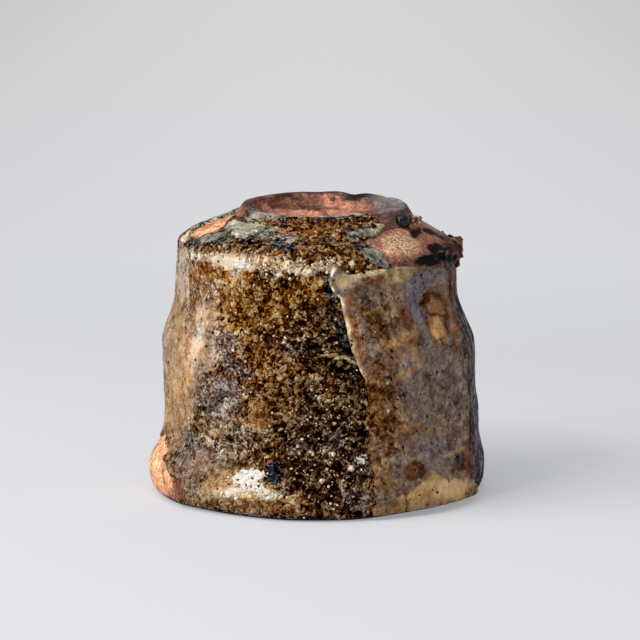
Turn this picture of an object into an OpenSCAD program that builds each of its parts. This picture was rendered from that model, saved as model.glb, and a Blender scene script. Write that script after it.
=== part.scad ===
// Faceted guinomi sake cup, standing upside down on its lip with the foot ring on top.
// Azimuth 0 faces the viewer (-Y) and grows towards +X. All sizes are in millimetres.

/* [Cup] */
// Height of the cup, from the lip it stands on to the top of the foot ring
cup_h = 57; // [50:0.5:70]
// Radius at the widest place, just above the rolled lip
lip_r = 32.8; // [30:0.1:36]
// How far the wall draws in from there to the waist
waist_in = 2.5; // [1:0.1:5]
// How far the wall draws in from the widest place to the neck under the hip
neck_in = 5.9; // [4:0.1:8]
// How far the hip corner stands inside the widest place
hip_in = 5.8; // [3:0.1:7]
// Height of the shallow cone from the hip corner up to the seat of the foot ring
hip_h = 4.7; // [3:0.1:8]
// How far the hip corner sags on its right side
hip_drop = 1.2; // [0:0.1:2]
// Height of the widest place over the lip
lip_z = 4.4; // [3:0.1:6]
// How far the wall bows to one side just above the lip
bow_shift = 0.6; // [0:0.1:1.5]
// How far the lip lifts off the table between its three lowest places
lip_wave = 0.5; // [0:0.1:1]

/* [Cavity] */
// Thickness of the rolled lip at the widest place
lip_w = 5.6; // [4.5:0.1:8]
// Thickness of the wall at the waist, before the facets are cut
wall_t = 5.1; // [4:0.1:8]
// Thickness of the clay between the cavity and the foot well
floor_t = 6.2; // [4:0.1:12]
// Width of the flat worn band that the lip stands on
band_w = 1.2; // [0.6:0.1:2]

/* [Foot] */
// Height of the foot ring over its seat
foot_h = 2.9; // [2:0.1:4]
// Radius of the foot ring at its top
foot_r = 16.4; // [14:0.1:18]
// How much wider the foot ring is where it sits on the hip
foot_flare = 0.9; // [0.2:0.1:3]
// How far the foot ring stands off the cup's axis
foot_shift = 1.5; // [0:0.1:3]
// Width of the foot ring's top, midway between the crescent's thin and wide sides
foot_w = 3.5; // [2.5:0.1:8]
// How much narrower the foot well is at its floor
well_taper = 2; // [0:0.1:3]
// How far the foot well stands off the cup's axis, less than the ring for a crescent foot
well_shift = 0.1; // [-1:0.1:2]
// Depth of the dish that the well sinks into the clay under the ring
dish_d = 0.9; // [0.4:0.1:2]
// Height of the nub left in the middle of the dish
nub_h = 2.6; // [0:0.1:3.5]
// Radius at which the nub has died away by half
nub_r = 2.1; // [1:0.1:3]

/* [Glaze] */
// Thickness of the amber ash glaze
amber_t = 0.45; // [0.2:0.05:0.8]
// Thickness of the milky straw-ash glaze on the right front panel
straw_t = 0.75; // [0.3:0.05:1.2]
// How far the lapped edge of the straw-ash glaze curls up at the seam
curl_t = 0.5; // [0:0.05:1]
// Width over which the two front glazes lap at the seam
seam_w = 0.9; // [0.5:0.1:1.5]
// Thickness of the dark iron glaze on the right side
iron_t = 0.4; // [0.2:0.05:0.8]
// Thickness of the tan glaze roll along the lip
roll_t = 0.6; // [0.4:0.05:1.2]
// Thickness of the ash pools on the hip
pool_t = 0.45; // [0.2:0.05:0.8]
// Thickness of the glaze that lines the cavity
lining_t = 0.35; // [0.2:0.05:0.6]

/* [Grit] */
// Radius of the black slag bead beside the foot ring
bead_r = 1.35; // [0.6:0.05:1.6]
// Radius of the largest white feldspar stone
stone_r = 1.1; // [0.5:0.05:1.6]
// Height of the highest lump of kiln crust on the hip
crust_t = 1.3; // [0.6:0.1:2]

/* [Hidden] */

// Colours of the clay and the glazes
brick = [0.62, 0.36, 0.27];
amber = [0.48, 0.33, 0.16];
taupe = [0.45, 0.41, 0.38];
slate = [0.2, 0.19, 0.2];
tan = [0.68, 0.54, 0.34];
celadon = [0.58, 0.58, 0.48];
chalk = [0.86, 0.82, 0.72];
soot = [0.05, 0.05, 0.06];

// The wall is cut into ten facets. A ridge between two facets leans, so it has an azimuth at the
// lip, at mid height and at the hip. Ridge 3 is the raised seam and ridge 5 the right edge.
lip_ridge_angles = [-92, -58, -10, 18.5, 44, 64, 98, 143, 186, 228];
mid_ridge_angles = [-92, -48, -14, 17.5, 37, 70, 98, 141, 188, 230];
hip_ridge_angles = [-95, -60, -24, 6.5, 35, 66, 96, 138, 190, 226];
// How flat each facet is, from 0 for the round thrown wall to 1 for a plane cut
flat_shares = [0.85, 0.55, 0.5, 0.75, 0.8, 0.7, 0.9, 0.85, 0.95, 0.9];
// How much further out than the thrown wall each ridge stands at mid height
swell_shares = [0.0, -0.02, 0.0, 0.01, 0.0, 0.025, 0.025, 0.0, 0.005, 0.0];
// How far each ridge takes part in the sag of the hip corner
drop_shares = [0, 0, 0, 0.1, 1, 1, 1, 0.8, 0.3, 0];
// Columns of skin points in each facet
facet_cols = [7, 6, 6, 4, 6, 5, 7, 7, 7, 9];
seam_index = 3;
edge_index = 5;
back_index = 7;
n_facets = len(facet_cols);
waist_r = lip_r - waist_in;
hip_r = lip_r - hip_in;

function facet_width(i) = waist_r * (mid_ridge_angles[i + 1] - mid_ridge_angles[i]) * PI / 180;
// A column is [facet, share of the way across it]. One more stands just left of the seam.
cols = [
  for (i = [0:n_facets - 1]) each concat(
    [for (j = [0:facet_cols[i] - 1]) [i, j / facet_cols[i]]],
    i == seam_index - 1 ? [[i, 1 - seam_w / facet_width(i)]] : []
  )
];
n_cols = len(cols);
function ridge_col(i) = [for (j = [0:n_cols - 1]) if (cols[j] == [i, 0]) j][0];
seam_col = ridge_col(seam_index);
edge_col = ridge_col(edge_index);
back_col = ridge_col(back_index);

// The thrown wall: heights as shares of the way from the widest place to the hip corner
wall_height_shares = [0, 0.19, 0.54, 0.8, 1];
// Share of the way in to the waist that the wall has drawn in at the first height over the lip
flare_share = 0.8;
wall_radii = [lip_r, lip_r - flare_share * waist_in, waist_r, lip_r - neck_in, hip_r];
// Rings of skin points: up the rolled lip, up the wall, over the hip and inside the cavity
n_roll = 4;
n_wall = 9;
n_hip = 5;
n_cavity = 9;
// One more ring lies close under the hip corner, at this share of the way up the wall
under_hip_share = 0.965;
// The hip's rings draw together towards its corner, and its crown rises fast and then flattens
hip_spacing = 1.5;
hip_crown = 0.55;
// The cavity is a rounded barrel: 2 would be an ellipse. Its last ring is this far up the arc.
cavity_power = 3;
cavity_last_angle = 85;
// Shares of the full facet depth that are left at the lip and at the hip
lip_facet_share = 0.45;
hip_facet_share = 0.8;
// Shares of the wall's height over which the facets deepen over the lip and fade under the hip
facet_rise_share = 0.33;
facet_fade_share = 0.25;
// Share of the wall's height over which the lift of the lip dies out
lift_fade_share = 0.33;
// Share of the wall's height over which it comes to follow the sagging hip
drop_rise_share = 0.4;
// Share of the cavity's height over which the mouth draws in to its waist
mouth_fade_share = 0.4;

seat_z = cup_h - foot_h;
hip_z = seat_z - hip_h;
mouth_r = lip_r - lip_w;
foot_base_r = foot_r + foot_flare;
well_r = foot_r - foot_w;
band_r = lip_r - 2 * band_w;
inner_band_r = band_r - band_w;
inner_roll_share = 0.8;
inner_roll_h = inner_roll_share * lip_z;
ceiling_z = seat_z - dish_d - floor_t;
dish_r = well_r - well_taper;
// Radii of the rings that draw the nub and the dish, as shares of the dish
dish_ring_shares = [0.09, 0.18, 0.29, 0.45, 0.72, 1];

function smooth(x) = let (u = min(1, max(0, x))) u * u * (3 - 2 * u);
function mix(a, b, t) = a + (b - a) * t;
function bow(a, b, c, t) = a * (1 - t) * (1 - 2 * t) + 4 * b * t * (1 - t) + c * t * (2 * t - 1);
function ridge(i, t) =
  let (k = i % n_facets)
  bow(lip_ridge_angles[k], mid_ridge_angles[k], hip_ridge_angles[k], t) + 360 * floor(i / n_facets);
function azimuth(c, t) = mix(ridge(c[0], t), ridge(c[0] + 1, t), c[1]);

// Radius of the thrown wall at a share of the way from the widest place to the hip
function wall_radius(s) =
  let (h = wall_height_shares, i = s >= h[3] ? 3 : s >= h[2] ? 2 : s >= h[1] ? 1 : 0)
  mix(wall_radii[i], wall_radii[i + 1], smooth((s - h[i]) / (h[i + 1] - h[i])));

// Share of the thrown radius that the knife left at a column, for a facet depth of weight w
function cut(c, t, w) =
  let (
    half = (ridge(c[0] + 1, t) - ridge(c[0], t)) / 2,
    chord = cos(half) / cos((2 * c[1] - 1) * half),
    swell = mix(swell_shares[c[0]], swell_shares[(c[0] + 1) % n_facets], c[1])
  )
  (1 + w * swell * sin(180 * t)) * (1 - w * flat_shares[c[0]] * (1 - chord));

// The wall leans over to one side by the most at this share of its height
bow_share = 0.17;
function bow_at(s) = bow_shift * sin(180 * min(1, s / bow_share / 2));
function facet_weight(t) =
  mix(lip_facet_share, 1, smooth(t / facet_rise_share))
  * mix(hip_facet_share, 1, smooth((1 - t) / facet_fade_share));
function lift_weight(s) = 1 - smooth(s / lift_fade_share);
function drop_weight(s) = smooth((s - 1 + drop_rise_share) / drop_rise_share);

// A station is one ring of the skin:
// [radius, height, facet weight, share of height, shift, lift, drop]
roll_stations = [
  for (i = [0:n_roll - 1])
    let (q = 90 * i / n_roll)
    [mix(band_r, lip_r, sin(q)), lip_z * (1 - cos(q)), facet_weight(0), 0, 0, 1, 0]
];
wall_stations = [
  for (s = concat([for (i = [0:n_wall - 1]) i / n_wall], [under_hip_share, 1]))
    [
      wall_radius(s), mix(lip_z, hip_z, s), facet_weight(s), s,
      bow_at(s), lift_weight(s), drop_weight(s)
    ]
];
hip_stations = [
  for (i = [1:n_hip])
    let (s = pow(i / n_hip, hip_spacing))
    [
      mix(hip_r, foot_base_r, s), mix(hip_z, seat_z, pow(s, hip_crown)),
      hip_facet_share * (1 - s), 1, foot_shift * s, 0, 1 - s * s
    ]
];
outside = concat(roll_stations, wall_stations, hip_stations);
inner_roll_stations = [
  for (i = [0:n_roll - 1])
    let (q = 90 * i / n_roll)
    [mix(inner_band_r, mouth_r, sin(q)), inner_roll_h * (1 - cos(q)), facet_weight(0), 0, 0, 1, 0]
];
cavity_stations = [
  for (i = [0:n_cavity])
    let (
      q = cavity_last_angle * i / n_cavity,
      s = pow(sin(q), 2 / cavity_power),
      r = mix(mouth_r, waist_r - wall_t, smooth(s / mouth_fade_share)) * pow(cos(q), 2 / cavity_power)
    )
    [r, mix(inner_roll_h, ceiling_z, s), facet_weight(0) * (1 - s), s, 0, lift_weight(s), 0]
];
inside = concat(inner_roll_stations, cavity_stations);
dish_stations = [
  for (i = [0:len(dish_ring_shares) - 1])
    let (s = dish_ring_shares[i], r = s * dish_r)
    [r, seat_z - dish_d * (1 - s * s) + nub_h * pow(0.5, pow(r / nub_r, 3)), 0, 1, well_shift, 0, 0]
];
nub_top = [well_shift, 0, seat_z - dish_d + nub_h];
ceiling_top = [0, 0, ceiling_z];

// Three evenly spaced low places carry the cup, and the lip lifts between them.
// One is at this azimuth, and each is flat over the part of the wave that lies under the level.
low_place_angle = -20;
level_share = 0.1;
function lift(a) =
  lip_wave * max(0, (1 - cos(3 * (a - low_place_angle))) / 2 - level_share) / (1 - level_share);
// Share of the hip's sag at a column
function drop(c) = mix(drop_shares[c[0]], drop_shares[(c[0] + 1) % n_facets], smooth(c[1]));
// Outward direction of a row of stations at one of them, as [radial, vertical]
function outward(rows, k) =
  let (
    p = rows[max(0, k - 1)], q = rows[min(len(rows) - 1, k + 1)],
    d = [q[0] - p[0], q[1] - p[1]]
  )
  [d[1], -d[0]] / norm(d);
// A point of the skin at column c and station k, grown outwards by g
function skin(rows, c, k, g) =
  let (
    s = rows[k], a = azimuth(c, s[3]), n = outward(rows, k),
    r = s[0] * cut(c, s[3], s[2]) + g * n[0]
  )
  [s[4] + r * sin(a), -r * cos(a), s[1] + g * n[1] + s[5] * lift(a) - s[6] * hip_drop * drop(c)];
function ring(rows, k) = [for (c = cols) skin(rows, c, k, 0)];
function backwards(list) = [for (i = [len(list) - 1:-1:0]) list[i]];

// One closed skin of stacked rings of n points each, with a pole at either end
function tube_faces(n, rings) = concat(
  [for (j = [0:n - 1]) [0, 1 + (j + 1) % n, 1 + j]],
  [
    for (k = [0:rings - 2]) for (j = [0:n - 1])
      let (a = 1 + k * n, b = a + n, i = (j + 1) % n)
      each [[a + j, b + i, b + j], [a + j, a + i, b + i]]
  ],
  [for (j = [0:n - 1]) let (a = 1 + (rings - 1) * n) [a + j, a + (j + 1) % n, a + n]]
);

// A coat is the skin between its base and its top, wherever the top is the higher.
// base and top hold one height over the clay for each station and column.
module coat(base, top) {
  m = len(outside);
  function at(k, j) = k * n_cols + j % n_cols;
  function thick(p) = top[p[0]][p[1] % n_cols] > base[p[0]][p[1] % n_cols];
  kept = [
    for (k = [0:m - 2]) for (j = [0:n_cols - 1])
      for (t = [[[k + 1, j], [k, j + 1], [k, j]], [[k + 1, j], [k + 1, j + 1], [k, j + 1]]])
        if (thick(t[0]) || thick(t[1]) || thick(t[2])) t
  ];
  polyhedron(
    concat(
      [for (k = [0:m - 1]) for (j = [0:n_cols - 1]) skin(outside, cols[j], k, base[k][j])],
      [for (k = [0:m - 1]) for (j = [0:n_cols - 1]) skin(outside, cols[j], k, top[k][j])]
    ),
    concat(
      [for (t = kept) [for (p = t) at(p[0], p[1]) + (thick(p) ? m * n_cols : 0)]],
      [for (t = kept) [for (p = backwards(t)) at(p[0], p[1])]]
    ),
    convexity = 6
  );
}

last_k = len(outside) - 1;
hip_k = n_roll + n_wall + 1;
// Azimuth of a point of the skin, from -180 to 180
function az(k, j) = let (a = azimuth(cols[j], outside[k][3])) a > 180 ? a - 360 : a;
// Place of a station along the skin: 0 on the contact band, 1 at the widest place, 2 at the hip
// corner and 3 at the foot ring's seat
function place(k) =
  k <= n_roll ? k / n_roll : k <= hip_k ? 1 + wall_stations[k - n_roll][3] : 2 + (k - hip_k) / n_hip;
// True inside an oval on the skin: [azimuth, place, half its width in degrees, half its height]
function in_oval(k, j, o) = pow((az(k, j) - o[0]) / o[2], 2) + pow((place(k) - o[1]) / o[3], 2) < 1;
function in_any(k, j, ovals) = len([for (o = ovals) if (in_oval(k, j, o)) 1]) > 0;
// Glaze stays off the contact band and thins out over the first ring above it
first_ring_share = 0.4;
function off_table(k) = k == 0 ? 0 : k == 1 ? first_ring_share : 1;

bare_oval_shares = [[-77, 0.6, 20, 0.72], [-69, 2.68, 11, 0.56]];
pool_oval_shares = [[-44, 2.62, 15, 0.38], [27, 2.68, 12, 0.3], [23, 2.22, 9, 0.2]];
crust_oval_shares = [84, 1.98, 27, 0.08];
roll_cols = [seam_col + 2, edge_col + 2];
// The amber glaze crosses the seam on the hip as far as this azimuth
tongue_angle = 14;

function is_amber(k, j) =
  (j < seam_col || j > back_col || (k > hip_k && az(k, j) > 0 && az(k, j) < tongue_angle))
  && k < last_k && !in_any(k, j, bare_oval_shares);
function is_straw(k, j) = j >= seam_col && j <= edge_col && k <= hip_k;
function is_iron(k, j) = j > edge_col && j <= back_col && k < last_k - 1;
function is_roll(k, j) = j >= roll_cols[0] && j <= roll_cols[1] && k > 1 && k < n_roll + 1;
function is_pool(k, j) = k < last_k && in_any(k, j, pool_oval_shares);
// The crust's lumps vary about this share of their full height
lump_share = 0.6;
function lump(k, j) = mix(lump_share, 1, sin(137 * j + 101 * k));

// Each sheet holds the height of a finish over the clay, and lies on the one before it
stations = [0:last_k];
columns = [0:n_cols - 1];
bare = [for (k = stations) [for (j = columns) 0]];
amber_top = [
  for (k = stations) [for (j = columns) is_amber(k, j) ? amber_t * off_table(k) : 0]
];
straw_top = [
  for (k = stations) [for (j = columns)
    amber_top[k][j] + (is_straw(k, j) ? (straw_t + (j == seam_col ? curl_t : 0)) * off_table(k) : 0)]
];
iron_top = [
  for (k = stations) [for (j = columns) straw_top[k][j] + (is_iron(k, j) ? iron_t * off_table(k) : 0)]
];
roll_top = [
  for (k = stations) [for (j = columns) iron_top[k][j] + (is_roll(k, j) ? roll_t * off_table(k) : 0)]
];
pool_top = [
  for (k = stations) [for (j = columns) roll_top[k][j] + (is_pool(k, j) ? pool_t : 0)]
];
crust_top = [
  for (k = stations) [for (j = columns)
    pool_top[k][j] + (in_oval(k, j, crust_oval_shares) ? crust_t * lump(k, j) : 0)]
];

// Column that runs nearest to an azimuth at a station
function near_col(a, k) =
  let (off = [for (j = columns) abs(az(round(k), j) - a)], least = min(off))
  [for (j = columns) if (off[j] == least) j][0];
// A point at a height over the finished surface, part of the way between two stations
function seat_point(j, k, rise) =
  let (k0 = floor(k), k1 = min(k0 + 1, last_k))
  mix(
    skin(outside, cols[j], k0, crust_top[k0][j] + rise),
    skin(outside, cols[j], k1, crust_top[k1][j] + rise),
    k - k0
  );

// The finished cup under a few stations and columns, down to a depth, for trimming what sits on it
module under_patch(j0, k0, depth) {
  reach = 2;
  k_low = max(0, floor(k0) - reach);
  n_k = min(last_k, floor(k0) + 1 + reach) - k_low + 1;
  n_j = 2 * reach + 1;
  function at(k, j, side) = (side * n_k + k) * n_j + j;
  points = [
    for (side = [0, 1]) for (k = [0:n_k - 1]) for (j = [0:n_j - 1])
      let (col = (j0 - reach + j + n_cols) % n_cols)
      skin(outside, cols[col], k_low + k, crust_top[k_low + k][col] - side * depth)
  ];
  tiles = [
    for (k = [0:n_k - 2]) for (j = [0:n_j - 2])
      each [[[k + 1, j], [k, j + 1], [k, j]], [[k + 1, j], [k + 1, j + 1], [k, j + 1]]]
  ];
  rim = concat(
    [for (j = [0:n_j - 2]) [0, j]], [for (k = [0:n_k - 2]) [k, n_j - 1]],
    [for (j = [n_j - 1:-1:1]) [n_k - 1, j]], [for (k = [n_k - 1:-1:1]) [k, 0]]
  );
  polyhedron(
    points,
    concat(
      [for (t = tiles) [for (p = t) at(p[0], p[1], 0)]],
      [for (t = tiles) [for (p = backwards(t)) at(p[0], p[1], 1)]],
      [for (i = [0:len(rim) - 1])
        let (p = rim[i], q = rim[(i + 1) % len(rim)])
        each [
          [at(p[0], p[1], 0), at(q[0], q[1], 0), at(p[0], p[1], 1)],
          [at(q[0], q[1], 0), at(q[0], q[1], 1), at(p[0], p[1], 1)]
        ]]
    ),
    convexity = 4
  );
}

module clay_body() {
  rows = concat(
    [for (k = [0:len(dish_stations) - 1]) ring(dish_stations, k)],
    [for (k = [last_k:-1:0]) ring(outside, k)],
    [for (k = [0:len(inside) - 1]) ring(inside, k)]
  );
  color(brick)
    polyhedron(
      concat([nub_top], [for (r = rows) each r], [ceiling_top]),
      tube_faces(n_cols, len(rows)),
      convexity = 8
    );
}

// Radius of the foot ring's top edge, and how far it has drawn in at half its height
foot_edge_r = 0.7;
waist_share = 0.8;
overrun = 1;
// The outline of the foot ring's outer side, grown by a glaze of a thickness
function foot_side(t) = concat(
  [[foot_base_r + t, 0], [mix(foot_base_r, foot_r, waist_share) + t, foot_h / 2]],
  [for (q = [0:22.5:90])
    [foot_r + t * cos(q) - foot_edge_r * (1 - cos(q)), foot_h - foot_edge_r * (1 - sin(q))]]
);

// The foot before its well is cut, with a root that goes on some way below its seat
module foot_blank(root) {
  translate([foot_shift, 0, seat_z])
    rotate_extrude($fn = 96)
      polygon(concat(
        [[0, -root]], root > 0 ? [[foot_base_r, -root]] : [], foot_side(0), [[0, foot_h]]
      ));
}

// The crescent foot is a turned ring whose well is cut off centre
module foot_ring() {
  color(brick)
    difference() {
      foot_blank(0);
      translate([well_shift, 0, seat_z - overrun])
        cylinder(
          h = foot_h + 2 * overrun,
          r1 = well_r - well_taper * (foot_h + overrun) / foot_h,
          r2 = well_r + well_taper * overrun / foot_h,
          $fn = 96
        );
    }
}

// Amber glaze that ran up the front of the foot ring, between two azimuths about its axis
foot_glaze_start_angle = -75;
foot_glaze_end_angle = 40;
module foot_glaze() {
  color(amber)
    translate([foot_shift, 0, seat_z])
      rotate([0, 0, foot_glaze_start_angle - 90])
        rotate_extrude(angle = foot_glaze_end_angle - foot_glaze_start_angle, $fn = 96)
          polygon(concat(foot_side(amber_t), backwards(foot_side(0))));
}

// The lining leaves the lip's roll bare and shares the clay's own skin from there up
module lining_glaze() {
  m = len(inside) - 1;
  color(amber)
    polyhedron(
      concat(
        [ceiling_top - [0, 0, lining_t]],
        [for (k = [m:-1:1]) for (c = cols) skin(inside, c, k, k == 1 ? 0 : -lining_t)],
        [for (k = [2:m]) each ring(inside, k)],
        [ceiling_top]
      ),
      [for (f = tube_faces(n_cols, 2 * m - 1)) backwards(f)],
      convexity = 8
    );
}

module amber_glaze() {
  color(amber) coat(bare, amber_top);
}

module straw_glaze() {
  color(taupe) coat(amber_top, straw_top);
}

module iron_glaze() {
  color(slate) coat(straw_top, iron_top);
}

module lip_glaze_roll() {
  color(tan) coat(iron_top, roll_top);
}

module ash_pools() {
  color(celadon) coat(roll_top, pool_top);
}

module kiln_crust() {
  color(slate) coat(pool_top, crust_top);
}

// A drop of slag that stuck in the corner between the foot ring and the hip
bead_angle = 57;
module slag_bead() {
  out = foot_base_r + bead_r / 2;
  color(soot)
    difference() {
      translate([foot_shift + out * sin(bead_angle), -out * cos(bead_angle), seat_z + bead_r / 2])
        sphere(r = bead_r, $fn = 32);
      foot_blank(2 * bead_r);
      under_patch(near_col(bead_angle, last_k), last_k - 1, 2 * bead_r);
    }
}

// White stones that broke through the glaze: [azimuth, station, share of the largest radius]
stone_shares = [
  [-11, hip_k, 1], [-3, hip_k - 0.5, 0.85], [-18, hip_k - 1.1, 0.75], [-72, hip_k + 1, 0.9],
  [12, n_roll + 1, 0.55], [0, n_roll + 0.5, 0.45]
];
module feldspar_stones() {
  color(chalk)
    for (s = stone_shares) {
      j = near_col(s[0], s[1]);
      r = s[2] * stone_r;
      difference() {
        translate(seat_point(j, s[1], r / 4)) sphere(r = r, $fn = 32);
        under_patch(j, s[1], r);
      }
    }
}

clay_body();
foot_ring();
lining_glaze();
amber_glaze();
straw_glaze();
iron_glaze();
foot_glaze();
lip_glaze_roll();
ash_pools();
kiln_crust();
slag_bead();
feldspar_stones();
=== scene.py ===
# Looks of a faceted guinomi sake cup that stands upside down on its lip.
# Azimuth 0 faces the camera (-Y) and grows towards +X. Working sizes are in millimetres.
import math

import bmesh
import bpy
import numpy as np
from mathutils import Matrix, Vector


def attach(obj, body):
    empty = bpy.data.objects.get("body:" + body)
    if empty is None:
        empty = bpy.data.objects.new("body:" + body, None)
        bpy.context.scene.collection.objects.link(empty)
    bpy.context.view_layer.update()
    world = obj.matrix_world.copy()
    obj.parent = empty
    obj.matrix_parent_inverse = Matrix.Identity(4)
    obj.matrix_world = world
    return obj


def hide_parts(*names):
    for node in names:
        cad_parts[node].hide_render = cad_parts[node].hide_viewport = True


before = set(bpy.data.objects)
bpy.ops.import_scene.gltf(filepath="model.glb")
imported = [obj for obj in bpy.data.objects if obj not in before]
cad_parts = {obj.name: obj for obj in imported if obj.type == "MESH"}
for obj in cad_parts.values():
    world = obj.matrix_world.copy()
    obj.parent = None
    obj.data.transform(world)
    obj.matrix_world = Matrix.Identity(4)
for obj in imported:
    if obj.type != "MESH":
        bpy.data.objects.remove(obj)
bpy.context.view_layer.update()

MM = 0.001

# The cup's driving sizes, as in the part's source
CUP_H, LIP_R, WAIST_IN, NECK_IN, HIP_IN, HIP_H, HIP_DROP, LIP_Z = 57, 32.8, 2.5, 5.9, 5.8, 4.7, 1.2, 4.4
BOW_SHIFT, LIP_WAVE, LIP_W, WALL_T, FLOOR_T, BAND_W = 0.6, 0.5, 5.6, 5.1, 6.2, 1.2
FOOT_H, FOOT_R, FOOT_FLARE, FOOT_SHIFT, FOOT_W, WELL_TAPER, WELL_SHIFT = 2.9, 16.4, 0.9, 1.5, 3.5, 2.0, 0.1
DISH_D, NUB_H, NUB_R = 0.9, 2.6, 2.1
AMBER_T, STRAW_T, IRON_T, POOL_T, LINING_T = 0.45, 0.75, 0.4, 0.45, 0.35
SEAT_Z = CUP_H - FOOT_H
HIP_Z = SEAT_Z - HIP_H
WAIST_R = LIP_R - WAIST_IN
HIP_R = LIP_R - HIP_IN
BAND_R = LIP_R - 2 * BAND_W
INNER_BAND_R = BAND_R - BAND_W
MOUTH_R = LIP_R - LIP_W
CEILING_Z = SEAT_Z - DISH_D - FLOOR_T
FOOT_BASE_R = FOOT_R + FOOT_FLARE
WELL_R = FOOT_R - FOOT_W
DISH_R = WELL_R - WELL_TAPER

# The ten knife-cut facets: azimuths of the leaning ridges at the lip, at mid height and at the hip
LIP_RIDGES = np.array([-92, -58, -10, 18.5, 44, 64, 98, 143, 186, 228])
MID_RIDGES = np.array([-92, -48, -14, 17.5, 37, 70, 98, 141, 188, 230])
HIP_RIDGES = np.array([-95, -60, -24, 6.5, 35, 66, 96, 138, 190, 226])
FLATNESS = np.array([0.85, 0.55, 0.5, 0.75, 0.8, 0.7, 0.9, 0.85, 0.95, 0.9])
SWELL = np.array([0, -0.02, 0, 0.01, 0, 0.025, 0.025, 0, 0.005, 0])
DROP = np.array([0, 0, 0, 0.1, 1, 1, 1, 0.8, 0.3, 0])
N_FACETS = 10
SEAM, EDGE, BACK = 3, 5, 7
WALL_SHARES = np.array([0, 0.19, 0.54, 0.8, 1])
WALL_RADII = np.array([LIP_R, LIP_R - 0.8 * WAIST_IN, WAIST_R, LIP_R - NECK_IN, HIP_R])

# Where the thrown form swells or is pared away beyond the plain facets:
# azimuth, height, half width in degrees, half height, depth
DENTS = [
    (-90, 41, 26, 5, 0.55), (-92, 18.5, 20, 7.5, -0.85), (-88, 5.5, 24, 4.5, 0.5), (92, 33, 22, 5, -0.4),
    (-70, 12, 9, 5, -0.5), (-28, 26, 9, 12, -0.35), (-8, 14, 10, 5, -0.3), (55, 36, 9, 8, -0.45),
    (30, 38, 7, 7, 0.3), (28, 22, 9, 6, -0.3), (36, 8, 7, 3.5, -0.35), (61, 9, 5, 4, -0.6), (8, 1.6, 24, 3, 0.45),
    (-82, 53, 12, 3, -0.5), (-76, 1.2, 22, 2, 0.6), (150, 20, 20, 9, -0.5), (-130, 34, 22, 10, -0.4),
    (170, 40, 18, 6, 0.3), (-160, 14, 18, 7, 0.3),
]

# A coat of glaze: how deep its inside is sunk in the clay, how far it runs in under its neighbour, how close to
# the table it comes, and how much finer its outside is than its inside
SUNK, OVERLAP, CLEAR_OF_TABLE, STRIDE = 0.9, 0.9, 0.01, 4

# The camera of the front view: where it stands, where it looks and its lens
EYE = np.array([0, -935.6, 193.0])
AIM = np.array([0.59, 0, 33.6])
LENS, SENSOR, FRAME = 272.5, 36, 640
# Pixels for a millimetre on the cup's front, and at its lip
PX_PER_MM, LIP_PX_PER_MM = 5.1, 5.0
VIEW = (AIM - EYE) / np.linalg.norm(AIM - EYE)
ACROSS = np.cross(VIEW, [0, 0, 1]) / np.hypot(VIEW[0], VIEW[1])


def smooth(x):
    """An S curve from 0 to 1."""
    u = np.clip(x, 0, 1)
    return u * u * (3 - 2 * u)


def mix(a, b, t):
    return a + (b - a) * t


def lay(tint, shade, amount):
    """Lays a colour over others by an amount for each point."""
    return mix(tint, shade, amount[..., None])


def fade(distance, width):
    """1 inside a border and 0 outside, where distance grows outwards."""
    return smooth(0.5 - distance / width)


def bell(x):
    """1 at 0, falling away on both sides."""
    return np.exp(-x ** 2)


def turned(azimuth, middle):
    """Degrees from a middle azimuth, from -180 to 180."""
    return (azimuth - middle + 180) % 360 - 180


def stack(*parts):
    return np.stack(np.broadcast_arrays(*parts), axis=-1)


def linear(red, green, blue):
    """A display colour as the linear colour that a shader wants."""
    c = np.array([red, green, blue]) / 255
    return np.where(c <= 0.04045, c / 12.92, ((c + 0.055) / 1.055) ** 2.4)


def scatter_value(cell, seed):
    """A repeatable random value from -1 to 1 for each whole-number cell."""
    n = (cell[..., 0] * 374761393 + cell[..., 1] * 668265263 + cell[..., 2] * 2147483647 + seed * 1274126177)
    n = n & 0xFFFFFFFF
    n = ((n ^ (n >> 13)) * 1274126177) & 0xFFFFFFFF
    n = (n ^ (n >> 16)) & 0xFFFFFFFF
    return n / 0x7FFFFFFF - 1


def ripple(points, size, seed):
    """Smooth random relief from -1 to 1, whose lumps are about size apart."""
    q = points / size
    cell = np.floor(q).astype(np.int64)
    f = q - cell
    f = f * f * (3 - 2 * f)
    total = 0
    for corner in np.ndindex(2, 2, 2):
        dx, dy, dz = corner
        weight = np.abs(1 - dx - f[..., 0]) * np.abs(1 - dy - f[..., 1]) * np.abs(1 - dz - f[..., 2])
        total = total + weight * scatter_value(cell + np.array(corner), seed)
    return total


def rough(points, size, seed, octaves=3):
    """Ripples on ripples, each half as large as the one before."""
    return sum(0.55 ** i * ripple(points, size * 0.5 ** i, seed + 17 * i) for i in range(octaves))


def ridge(i, t):
    """Azimuth of a ridge at a share of the way up, on a bow through its three given places."""
    k = i % N_FACETS
    bow = LIP_RIDGES[k] * (1 - t) * (1 - 2 * t) + 4 * MID_RIDGES[k] * t * (1 - t) + HIP_RIDGES[k] * t * (2 * t - 1)
    return bow + 360 * (i // N_FACETS)


def wall_radius(s):
    i = np.clip(np.searchsorted(WALL_SHARES, s, side="right") - 1, 0, 3)
    low, high = WALL_SHARES[i], WALL_SHARES[i + 1]
    return mix(WALL_RADII[i], WALL_RADII[i + 1], smooth((s - low) / (high - low)))


def facet_weight(t):
    return mix(0.45, 1, smooth(t / 0.33)) * mix(0.8, 1, smooth((1 - t) / 0.25))


def lift(a):
    """How far the wavy lip stands off the table."""
    return LIP_WAVE * np.maximum(0, (1 - np.cos(np.radians(3 * (a + 20)))) / 2 - 0.1) / 0.9


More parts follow.
